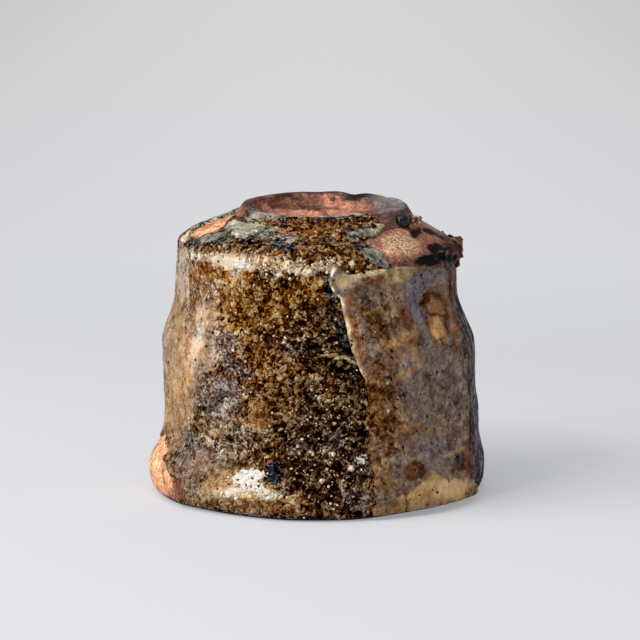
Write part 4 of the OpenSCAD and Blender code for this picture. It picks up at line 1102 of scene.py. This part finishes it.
# Scorched, grey and sooty places on the foot ring
RING_FRONTS = [
    (276, 204, 10, 4, 0, SCORCH * 0.6, 0.6), (287, 200, 4, 2.5, 0, TAN * 0.7, 0.8),
    (258, 203, 9, 6, -30, SCORCH * 0.8, 0.7), (250, 200, 6, 4, -40, SLATE, 0.8), (333, 199, 3, 2, 0, UMBER, 0.8),
    (361, 194.5, 11, 3, 4, SOOT * 0.4, 0.97), (405, 207, 3.5, 9, 30, SOOT * 1.8, 0.6),
    (378, 203, 14, 5, 20, BLUE_GREY, 0.9), (399, 207, 5, 5, 0, (120, 98, 92), 0.7),
    (330, 191, 60, 2, 0, SOOT * 2.2, 0.8), (296, 207, 26, 2.5, 0, SCORCH * 0.5, 0.6),
    (300, 199, 5, 3, 0, SCORCH * 0.6, 0.6),
]


def foot_crescent(material):
    """The brick-red foot ring with its grey fired top and sooty far side."""
    rings, v = foot_section(np.linspace(0, 360, 301)[:-1])
    n_rows, n = rings.shape[:2]
    k, j = np.meshgrid(np.arange(n_rows), np.arange(n), indexing="ij")
    up = ((k + 1) % n_rows) * n
    faces = np.stack([k * n + j, k * n + (j + 1) % n, up + (j + 1) % n, up + j], axis=-1).reshape(-1, 4).tolist()
    skin = Skin(rings, directions(rings, ring=True))
    azimuth = skin.azimuth
    v = v + 0 * azimuth
    top = fade(np.abs(v - 0.55) - 0.155, 0.06)
    right = smooth((azimuth - 30) / 40) * smooth((170 - azimuth) / 40)
    greyed = top * mix(0.75, 0.95, right) * smooth(0.9 + skin.rough(3, 131))
    tint = lay(BRICK, BLUE_GREY * mix(0.4, 1.9, right[..., None]), greyed)
    tint = lay(tint, SCORCH * 0.5, 0.8 * smooth(skin.ripple(2.2, 132) * 2 - 0.6) * smooth(v / 0.1))
    inside = smooth((v - 0.66) / 0.04)
    tint = lay(tint, WELL_RED, 0.85 * inside)
    tint = lay(tint, WELL_RED * 0.62, 0.9 * inside * smooth(rings[..., 0] / 9))
    tint = lay(tint, SCORCH * 0.45, 0.6 * inside * smooth(skin.ripple(3.2, 133) * 2 - 0.2))
    far = np.exp(-((azimuth - 146) / 12) ** 4) + 0.7 * bell((azimuth + 152) / 14)
    far_soot = far * fade(np.abs(v - 0.63) - 0.14, 0.05) * smooth(1.1 + skin.rough(1.5, 130))
    tint = lay(tint, SOOT, 0.95 * far_soot)
    tint = lay(tint, linear(110, 86, 80), 0.85 * fade(v - 0.36, 0.1) * smooth((azimuth - 35) / 15))
    tint = skin.paint(tint, [], RING_FRONTS, 34, 0.5)
    return set_object("foot_crescent", rings, faces, material, tint=tint, grain=0.9, gloss=0.35 * top * right)


# Ovals of colour on the glaze of the foot ring's front
FOOT_FRONTS = [
    (300, 226, 60, 12, 0, COPPER, 0.85), (283, 220, 6, 3.5, 0, SOOT * 1.8, 0.9), (262, 215, 12, 3, 8, UMBER, 0.8),
    (255, 221, 12, 6, -20, CELADON * 0.8, 0.7), (275, 216, 5, 2, 0, TAN, 0.8),
    (316, 222, 4, 3, 0, SOOT * 1.8, 0.7), (330, 218, 6, 3, 0, SOOT * 1.6, 0.8),
    (352, 217, 12, 3, 0, SOOT * 1.8, 0.9), (340, 214, 4, 1.6, 0, CREAM, 0.8), (357, 214, 4, 1.6, 0, CREAM, 0.7),
    (369, 212, 5, 2, 0, SALMON, 0.9), (380, 215, 7, 6, 0, (126, 76, 66), 0.9),
]


def foot_coat(material):
    """Amber glaze that ran up over the front of the foot ring."""
    stride, n_turns, n_rows = 3, 3 * 90 + 1, 3 * 20 + 1
    turn = np.linspace(-92, 52, n_turns)
    rings, v = (part[:n_rows] for part in foot_section(turn, 76))
    clay = Skin(rings, directions(rings))
    azimuth = turn[None, :] + 0 * v
    left_end = smooth((azimuth + 80 + 5 * clay.ripple(3, 142)) / 12)
    ends = left_end * smooth((44 + 5 * clay.ripple(3, 143) - azimuth) / 12)
    top_edge = fade(v - 0.68 - 0.03 * clay.ripple(2, 144), 0.06)
    t = cut(0.38 + 0.12 * clay.rough(1.8, 141) + 1.1 * bell(v / 0.16), ends * top_edge, 0.4)
    skin = Skin(rings + clay.out * t[..., None], clay.out)
    left = smooth((-22 - azimuth) / 16)
    bright_rim = bell((v - mix(0.56, 0.5, left)) / mix(0.05, 0.11, left))
    whiter = smooth(clay.ripple(2.2, 146) + 0.7) * smooth((30 - azimuth) / 20)
    tint = lay(skin.paint(AMBER, [], FOOT_FRONTS, 150), linear(206, 202, 196), 0.92 * bright_rim * whiter)
    tint = lay(tint, SLATE, 0.7 * smooth((-56 - azimuth) / 12))
    return coat(
        "foot_coat", material, skin.clay, rings - clay.out * 0.45, stride,
        tint=tint, grain=mix(0.95, 0.3, bright_rim), gloss=0.3, frost=0.12,
    )


# Ovals of colour on the bare clay in front, and its glassy places
CLAY_FRONTS = [
    (156, 468, 7, 20, -10, (226, 178, 136), 0.8), (163, 474, 1.3, 16, -8, RUST, 0.8),
    (169, 478, 4, 16, -8, (214, 160, 118), 0.9), (178, 486, 5, 18, -20, RUST, 0.95),
    (175, 494, 6, 8, 0, SCORCH, 0.7), (156, 488, 6, 5, 30, (196, 132, 98), 0.6),
    # (168, 499) is painted contact shadow under the bare clay, where the lip meets the table
    (168, 499, 14, 2.5, 24, SCORCH * 0.6, 0.7), (150, 472, 4, 14, -8, (190, 136, 110), 0.7),
    (207, 230, 21, 7.5, -27, (196, 138, 106), 0.95), (200, 234, 9, 3.5, -15, (220, 164, 122), 0.8),
    (231, 216, 14, 4.5, -40, SALMON * 0.85, 0.9), (216, 226, 9, 3, -30, (224, 172, 136), 0.7),
    (236, 211, 4, 3, -40, BRICK, 0.6), (204, 238, 24, 2, -14, SOOT * 1.8, 0.9),
    (189, 230, 12, 2, -38, SLATE, 0.7), (398, 244, 32, 20, 14, (166, 118, 100), 0.95),
    (384, 262, 14, 4, 14, (180, 126, 106), 0.7), (424, 243, 8, 5, 20, (178, 122, 96), 0.7),
    (378, 249, 11, 12, 40, (146, 100, 94), 0.9), (390, 264, 16, 4, 4, (146, 98, 90), 0.8),
    (390, 221, 9, 9, 0, (122, 76, 68), 0.9), (399, 246, 19, 12, 12, (178, 124, 96), 0.95),
    (397, 245, 15.5, 9, 10, (226, 184, 142), 0.95), (410, 249, 8, 8, 0, (182, 124, 96), 0.7),
    (426, 241, 9, 9, 0, (150, 100, 84), 0.9), (415, 232, 6, 6, 20, SOOT * 0.12, 0.99, 0.25),
    (409, 226, 4, 2.4, 30, SOOT * 0.12, 0.97, 0.25), (430, 231.5, 9, 2.4, 14, SOOT * 0.15, 0.97, 0.25),
    (436, 248.5, 11, 5.5, 10, SOOT * 0.12, 0.99, 0.25), (425, 260, 12, 5.5, -14, SOOT * 0.14, 0.99, 0.25),
    (432, 260.5, 10, 5.5, -4, SOOT * 0.14, 0.99, 0.25), (446, 238, 8, 3, 16, SOOT * 0.2, 0.95, 0.25),
    (413, 226, 4, 3, 0, ORANGE, 0.7), (440, 254, 8, 6, -20, SOOT, 0.9, 0.3),
    (434, 226, 22, 5, 28, (158, 142, 134), 0.9), (452, 246, 9, 14, 0, (104, 72, 64), 0.9),
]
CLAY_GLOSS = [
    (416, 234, 6.5, 5, 20, 1.0), (430, 231.5, 8, 2.4, 14, 0.9), (437, 248.5, 10, 5.5, 10, 1.0),
    (426, 259, 15, 8, -20, 1.0), (446, 238, 7, 3, 16, 0.8), (440, 254, 8, 6, -20, 0.9),
    (204, 238, 24, 2, -14, 0.7),
]


def clay_cup(material):
    """The whole clay body, from the nub in the foot well over the outside and the lip into the cavity."""
    arcs = np.linspace(0, GIRTH, 385)[:-1]
    outside = Sheet(arcs, spread(0, PATH_END, 0.5, 1), ring=True)
    turn = np.radians(outside.azimuth[-1])
    share = np.linspace(0.02, 1, 26)[:, None]
    r = share * (DISH_R + 0.25)
    wear = 0.14 * smooth(share * 3) * ripple(stack(r * np.sin(turn), r * np.cos(turn), 0), 3, 151)
    z = SEAT_Z - DISH_D * (1 - share ** 2) + NUB_H * 0.5 ** ((r / NUB_R) ** 3) + wear
    dish = stack(WELL_SHIFT + r * np.sin(turn), -r * np.cos(turn), z)
    place = np.concatenate([np.linspace(0, 1, 9), 1 + np.linspace(0.02, 1, 60)])[:, None]
    cavity = skin_point(column_of(arcs)[None, :], inner_station(place))[:-1]
    shape = outside.above(np.zeros(outside.height.shape))[::-1]
    nub = [WELL_SHIFT, 0, SEAT_Z - DISH_D + NUB_H]
    points, faces = tube(np.concatenate([dish, shape, cavity]), nub, [0, 0, CEILING_Z])

    tint = outside.paint(
        BRICK * 1.15, [(-77, 6, 20, 9, ORANGE, 0.95), (80, 52.5, 25, 1.2, LAVENDER * 0.7, 0.7)], CLAY_FRONTS, 600
    )
    # with painted contact shadow along the lip
    tint = lip_contact_shadow(tint * (1 + 0.15 * outside.rough(4, 161))[..., None], outside, 0.85, 1.6, 1.2)
    sandy = outside.spot(399, 245.5, 18, 11, 6, 608, 0.4)
    sandy = np.maximum(sandy, 0.6 * outside.spot(414, 247, 8, 8, 0, 609, 0.5))
    floor = Skin(dish, np.broadcast_to([0, 0, 1.0], dish.shape))
    well = lay(WELL_RED, SCORCH * 0.6, smooth(floor.ripple(2.6, 162) * 2.2 - 0.9))
    well = lay(well, SCORCH * 0.3, 0.9 * floor.spot(313, 209, 8, 2.2, 0, 163, 0.4))
    well = lay(well, SCORCH * 0.4, 0.75 * bell((r - 2.6) / 0.5) + 0 * turn)

    def all_over(well_value, outside_values, cavity_value):
        """A value for each point, in the order of the rings with their poles."""
        values = [np.full(len(dish) * len(arcs) + 1, well_value), outside_values[::-1].ravel()]
        return np.concatenate(values + [np.full(len(cavity) * len(arcs) + 1, cavity_value)])

    bowl = np.broadcast_to(BRICK, (cavity.shape[0] * cavity.shape[1] + 1, 3))
    return set_object(
        "clay_cup", points, faces, material,
        tint=np.concatenate([[well[0, 0]], well.reshape(-1, 3), tint[::-1].reshape(-1, 3), bowl]),
        grain=all_over(0.8, 1.0 + 0.7 * sandy, 0.8), frost=all_over(0, 0.95 * sandy, 0),
        gloss=all_over(0, 0.3 * outside.level(0, [], CLAY_GLOSS), 0),
    )


def cavity_lining(material):
    """The glaze inside the cup, on the cavity's own skin from the mouth inwards."""
    columns = column_of(np.linspace(0, GIRTH, 241)[:-1])[None, :]
    place = (0.55 + np.linspace(0, 1, 81) ** 0.9 * 1.44)[:, None]
    skin = skin_point(columns, inner_station(place))
    inward = -directions(skin, ring=True)
    inward = inward * np.where((inward * skin).sum(-1, keepdims=True) > 0, -1, 1)
    t = (LINING_T + 0.06 * rough(skin, 3, 171)) * smooth((place - 0.55) / 0.3)
    surface = skin + inward * np.maximum(t, 0.02)[..., None]
    below = skin - inward * 0.3
    poles = [[0, 0, layer[-1, :, 2].mean()] for layer in (surface, below)]
    points, faces = tube(np.concatenate([surface[::-1], below]), *poles)
    tint = lay(AMBER, OLIVE, smooth(0.5 + rough(surface, 8, 172)))
    tint = lay(tint, CELADON, 0.8 * smooth((place + 0 * columns - 1.55) / 0.3))
    tints = np.concatenate([[tint[-1, 0]], tint[::-1].reshape(-1, 3), tint.reshape(-1, 3), [tint[-1, 0]]])
    inside_out = [f[::-1] for f in faces]
    return set_object("cavity_lining", points, inside_out, material, tint=tints, grain=0.6, gloss=0.6, frost=0)


def ball(divisions=4):
    """Directions and faces of an evenly divided ball."""
    work = bmesh.new()
    bmesh.ops.create_icosphere(work, subdivisions=divisions, radius=1)
    work.verts.index_update()
    points = np.array([v.co for v in work.verts])
    faces = [[v.index for v in f.verts] for f in work.faces]
    work.free()
    return points, faces


def lumps(name, seats, material, seed, knobbly, flat):
    """Irregular lumps in one mesh. A seat is a centre, an outward direction and a radius."""
    unit, unit_faces = ball()
    all_points, all_faces = [], []
    for n, (centre, out, radius) in enumerate(seats):
        shaped = unit * (1 + knobbly * rough(unit * 2 + 7 * n, 1.3, seed + n)[:, None])
        all_points.append(centre + radius * (shaped - (1 - flat) * (shaped @ out)[:, None] * out))
        all_faces += [[i + n * len(unit) for i in f] for f in unit_faces]
    return set_object(name, np.concatenate(all_points), all_faces, material)


def skin_seat(azimuth, height, rise, radius):
    """A place on the glazed skin for a lump: its centre, outward direction and radius."""
    arc = arc_at(MID_RIDGES[0] + (azimuth - MID_RIDGES[0]) % 360)
    near = Sheet(np.linspace(arc - 8, arc + 8, 65), spread(2, PATH_END, 0.25, 1))
    off = ((near.azimuth - azimuth) * 0.5) ** 2 + (near.height - height) ** 2
    k, j = np.unravel_index(np.argmin(off), off.shape)
    return near.clay[k, j] + near.out[k, j] * rise, near.out[k, j], radius


def slag_seat(azimuth, out, up, radius):
    """The same for a lump beside the foot ring: how far it is out from the ring's base and up from the seat."""
    a = math.radians(azimuth)
    r = FOOT_BASE_R + out
    centre = np.array([FOOT_SHIFT + r * math.sin(a), -r * math.cos(a), SEAT_Z + up])
    return centre, np.array([math.sin(a), -math.cos(a), 0.3]) / 1.05, radius


# Azimuth, height, rise and radius of each stone
STONES = [
    (-11, 48.4, 0.6, 1.15), (-3.4, 47.6, 0.65, 1.05), (-8, 47.4, 0.6, 0.7), (-15, 46.8, 0.5, 0.55),
    (-1, 48.6, 0.55, 0.6), (-76, 50.4, 0.9, 1.25), (12, 10.2, 0.5, 0.62), (2, 8, 0.5, 0.5), (6, 13, 0.5, 0.4),
    (9, 49, 0.6, 0.5), (14, 48.6, 0.6, 0.6),
]
# Azimuth, distance out from the ring's base, height over the seat and radius of each lump
BEADS = [(56, 0.7, 0.6, 1.42), (62, 1.0, 0.0, 0.75)]
CINDERS = [
    (68, 0.5, 0.9, 0.62), (72, 0.9, 0.4, 0.6), (66, 1.5, -0.1, 0.5), (78, 0.9, 0.2, 0.45), (70, 2.2, -0.5, 0.5),
    (60, 1.9, -0.4, 0.4), (84, 1.4, -0.1, 0.4),
]


def crumb_tree(material):
    """Geometry nodes that strew small ash crumbs over a host, thickest where its density is high."""
    tree = bpy.data.node_groups.new("ash_crumbs", "GeometryNodeTree")
    for name, kind, value in (
        ("Host", "Object", None), ("Crumb size", "Float", 0.0002), ("Crumbs per square metre", "Float", 4e5),
        ("Seed", "Int", 7),
    ):
        socket = tree.interface.new_socket(name=name, in_out="INPUT", socket_type="NodeSocket" + kind)
        if value is not None:
            socket.default_value = value
    tree.interface.new_socket(name="Geometry", in_out="OUTPUT", socket_type="NodeSocketGeometry")
    given = tree.nodes.new("NodeGroupInput").outputs

    def made(kind, inputs, output=0, **settings):
        return add(tree, kind, inputs, **settings).outputs[output]

    host = made("GeometryNodeObjectInfo", {"Object": given["Host"]}, "Geometry")
    density = made("GeometryNodeInputNamedAttribute", {"Name": "crumbs"}, "Attribute", data_type="FLOAT")
    amount = made("ShaderNodeMath", {0: density, 1: given["Crumbs per square metre"]}, operation="MULTIPLY")
    spots = {"Mesh": host, "Density": amount, "Seed": given["Seed"]}
    strewn = add(tree, "GeometryNodeDistributePointsOnFaces", spots).outputs
    grain = made("GeometryNodeMeshIcoSphere", {"Radius": 1.0, "Subdivisions": 2}, "Mesh")
    size = made("FunctionNodeRandomValue", {2: 0.35, 3: 1.3, "Seed": given["Seed"]}, 1, data_type="FLOAT")
    scale = made("ShaderNodeMath", {0: size, 1: given["Crumb size"]}, operation="MULTIPLY")
    wide = made("FunctionNodeRandomValue", {0: (0.7, 0.7, 0.45), 1: (1.3, 1.3, 0.8)}, data_type="FLOAT_VECTOR")
    scales = made("ShaderNodeVectorMath", {0: wide, "Scale": scale}, operation="SCALE")
    placed = {"Points": strewn["Points"], "Instance": grain, "Rotation": strewn["Rotation"], "Scale": scales}
    real = made("GeometryNodeRealizeInstances", {"Geometry": made("GeometryNodeInstanceOnPoints", placed)})
    finished = made("GeometryNodeSetMaterial", {"Geometry": real, "Material": material})
    tree.links.new(finished, tree.nodes.new("NodeGroupOutput").inputs[0])
    return tree


def strew_crumbs(name, tree, values):
    """Runs the crumb nodes with their named values, and keeps what they make as a plain mesh."""
    holder = link(name, bpy.data.meshes.new(name))
    modifier = holder.modifiers.new("crumbs", "NODES")
    modifier.node_group = tree
    for item in tree.interface.items_tree:
        if item.in_out == "INPUT" and item.name in values:
            modifier[item.identifier] = values[item.name]
    holder.update_tag()
    bpy.context.view_layer.update()
    graph = bpy.context.evaluated_depsgraph_get()
    mesh = bpy.data.meshes.new_from_object(holder.evaluated_get(graph))
    holder.modifiers.remove(modifier)
    holder.data = mesh
    mesh.name = name
    return holder


def crumb_density(host, patches):
    """Marks on a host how thickly crumbs lie, from ovals in azimuth and height."""
    points = np.empty(3 * len(host.data.vertices))
    host.data.vertices.foreach_get("co", points)
    points = points.reshape(-1, 3) / MM
    density = np.zeros(len(points))
    for middle, z, wide, high, level in patches:
        thick = bell(turned(azimuth_of(points), middle) / wide) * bell((points[:, 2] - z) / high)
        density = np.maximum(density, level * thick)
    layer = host.data.attributes.new("crumbs", "FLOAT", "POINT")
    layer.data.foreach_set("value", density.astype(np.float32))


def from_side(azimuth, elevation, distance):
    a, e = math.radians(azimuth), math.radians(elevation)
    return Vector((math.sin(a) * math.cos(e), -math.cos(a) * math.cos(e), math.sin(e))) * distance


def aim_at(thing, place, target):
    thing.location = place
    thing.rotation_euler = (Vector(target) - Vector(place)).to_track_quat("-Z", "Y").to_euler()


def camera():
    lens = bpy.data.cameras.new("camera")
    lens.lens = LENS
    lens.sensor_width = SENSOR
    lens.clip_end = 50
    eye = link("camera", lens)
    aim_at(eye, EYE * MM, AIM * MM)
    bpy.context.scene.camera = eye


def pale_floor():
    """The floor's finish. Where the camera or a gloss looks at it, it glows pale as painted light: fully behind the
    cup, and at 0.4 in front of it and under it, where the glow lightens the cup's shadow; the glow darkens towards
    the back and the sides as painted falloff of light.
    """
    f = Finish("pale_floor", Base_Color=colour(linear(228, 229, 234)), Roughness=0.9, Specular_IOR_Level=0.1)
    across, back, _ = f.add("ShaderNodeSeparateXYZ", {0: f.at}).outputs
    depth = f.range(back, 0.0, 0.95)
    far = f.ramp(depth, [
        (0.0, linear(224, 225, 229)), (0.25, linear(217, 218, 222)), (0.6, linear(216, 216, 218)),
        (1.0, linear(214, 214, 215)),
    ])
    side = f.times(f.times(across, across), depth)
    far = f.blend(f.times(side, 22.0), far, colour(linear(170, 170, 172)))
    glow = f.add("ShaderNodeEmission", {"Color": far, "Strength": 1.0})
    path = f.add("ShaderNodeLightPath").outputs
    watched = f.maths("MINIMUM", f.maths("ADD", path["Is Camera Ray"], path["Is Glossy Ray"]), 1.0)
    away = f.maths("MAXIMUM", f.range(back, 0.03, 0.3, how="SMOOTHSTEP"), 0.4)
    both = {0: f.times(away, watched), 1: f.shader.outputs[0], 2: glow.outputs[0]}
    both = f.add("ShaderNodeMixShader", both)
    f.tree.links.new(both.outputs[0], f.tree.nodes["Material Output"].inputs["Surface"])
    return f.material


def studio():
    """A pale seamless floor, a large soft lamp on the left and an even pale sky."""
    bpy.ops.mesh.primitive_plane_add(size=12)
    floor = bpy.context.object
    floor.name = "studio_floor"
    floor.data.materials.append(pale_floor())
    for name, azimuth, elevation, distance, size, power in (
        ("softbox_left", -66, 30, 0.9, 0.7, 5.8), ("softbox_above", -40, 72, 1.1, 0.9, 4.4),
        ("window_glint", -38, 46, 0.9, 0.12, 1.1),
    ):
        lamp = bpy.data.lights.new(name, "AREA")
        lamp.size = size
        lamp.energy = power
        lamp.color = (1.0, 0.985, 0.96)
        aim_at(link(name, lamp), from_side(azimuth, elevation, distance), (0, 0, 0.03))
    world = bpy.data.worlds.new("pale_sky")
    bpy.context.scene.world = world
    world.use_nodes = True
    sky = world.node_tree.nodes["Background"].inputs
    sky["Color"].default_value = (0.93, 0.95, 1.0, 1)
    sky["Strength"].default_value = 0.28


amber_finish = glaze_material("amber_ash_glaze")
straw_finish = glaze_material(
    "straw_ash_glaze", cell=0.45, contrast=1.1, bump=0.5, shine=(0.15, 0.4), speck_share=0.96, specular=0.25,
    fine=0.2, clotted=0.2,
)
iron_finish = glaze_material(
    "iron_slate_glaze", cell=0.5, contrast=0.8, bump=0.35, shine=(0.3, 0.5), speck=TAUPE, speck_share=0.96,
    specular=0.2, fine=0.2, clotted=0.15,
)
roll_finish = glaze_material(
    "tan_roll_glaze", contrast=0.8, bump=0.3, shine=(0.2, 0.45), speck=UMBER, speck_share=0.86
)
pool_finish = glaze_material("celadon_ash_glaze", contrast=1.0, bump=0.45, shine=(0.08, 0.25), speck_share=0.93)
lining_finish = glaze_material("lining_glaze_coat", cell=0.6, contrast=0.8, bump=0.3, shine=(0.1, 0.3))
clay_finish = clay_material("fired_clay_body")
crust_finish = clay_material("kiln_crust_grit")
# White feldspar with brown stains in its pits
stone_finish = cloudy_material(
    "feldspar_white", 1500.0, 6.0, [(0.34, UMBER * 2), (0.41, TAN), (0.5, CREAM), (0.66, CHALK)],
    0.8, breakup=0.65, Roughness=0.42,
)
# Black slag glass with a little iron red in it
bead_finish = cloudy_material(
    "slag_glass", 900.0, 4.0,
    [(0.4, (0.006, 0.006, 0.008)), (0.62, (0.02, 0.02, 0.024)), (0.75, (0.09, 0.035, 0.02))],
    0.35, Roughness=0.06, Specular_IOR_Level=0.35,
)
cinder_finish = cloudy_material(
    "orange_cinder", 1300.0, 5.0, [(0.38, SOOT), (0.46, RUST), (0.56, SALMON * 0.8), (0.68, CREAM)],
    0.8, Roughness=0.55,
)

finish_piece(clay_cup(clay_finish), "clay_body")
finish_piece(foot_crescent(clay_finish), "foot_ring")
finish_piece(cavity_lining(lining_finish), "lining_glaze")
amber = amber_coat(amber_finish)
foot_front = foot_coat(amber_finish)
crumb_density(amber, [
    (-14, 48.4, 13, 1.3, 1.0), (2, 48.2, 10, 1.4, 0.6), (-12, 47, 14, 1.2, 0.35), (-28, 49.6, 16, 0.8, 0.35),
    (0, 20, 18, 20, 0.025), (8, 9, 10, 6, 0.1), (-30, 30, 25, 20, 0.012), (-20, 12, 30, 8, 0.03),
])
crumbs = strew_crumbs("ash_crumbs", crumb_tree(stone_finish), {
    "Host": amber, "Crumb size": 0.00022, "Crumbs per square metre": 3.2e6, "Seed": 11,
})
finish_piece(amber, "amber_glaze")
finish_piece(crumbs)
finish_piece(foot_front, "foot_glaze")
finish_piece(straw_coat(straw_finish), "straw_glaze")
finish_piece(iron_coat(iron_finish), "iron_glaze")
finish_piece(lip_roll(roll_finish), "lip_glaze_roll")
finish_piece(ash_pools(pool_finish), "ash_pools")
finish_piece(kiln_crust(crust_finish), "kiln_crust")
glass_bead = lumps("glass_bead", [slag_seat(*s) for s in BEADS], bead_finish, 750, 0.08, 0.95)
finish_piece(glass_bead, "slag_bead")
finish_piece(lumps("bead_cinder", [slag_seat(*s) for s in CINDERS], cinder_finish, 770, 0.5, 0.8))
white_stones = lumps("white_stones", [skin_seat(*s) for s in STONES], stone_finish, 700, 0.34, 0.7)
finish_piece(white_stones, "feldspar_stones")
camera()
studio()
bpy.context.scene.view_settings.view_transform = "Standard"
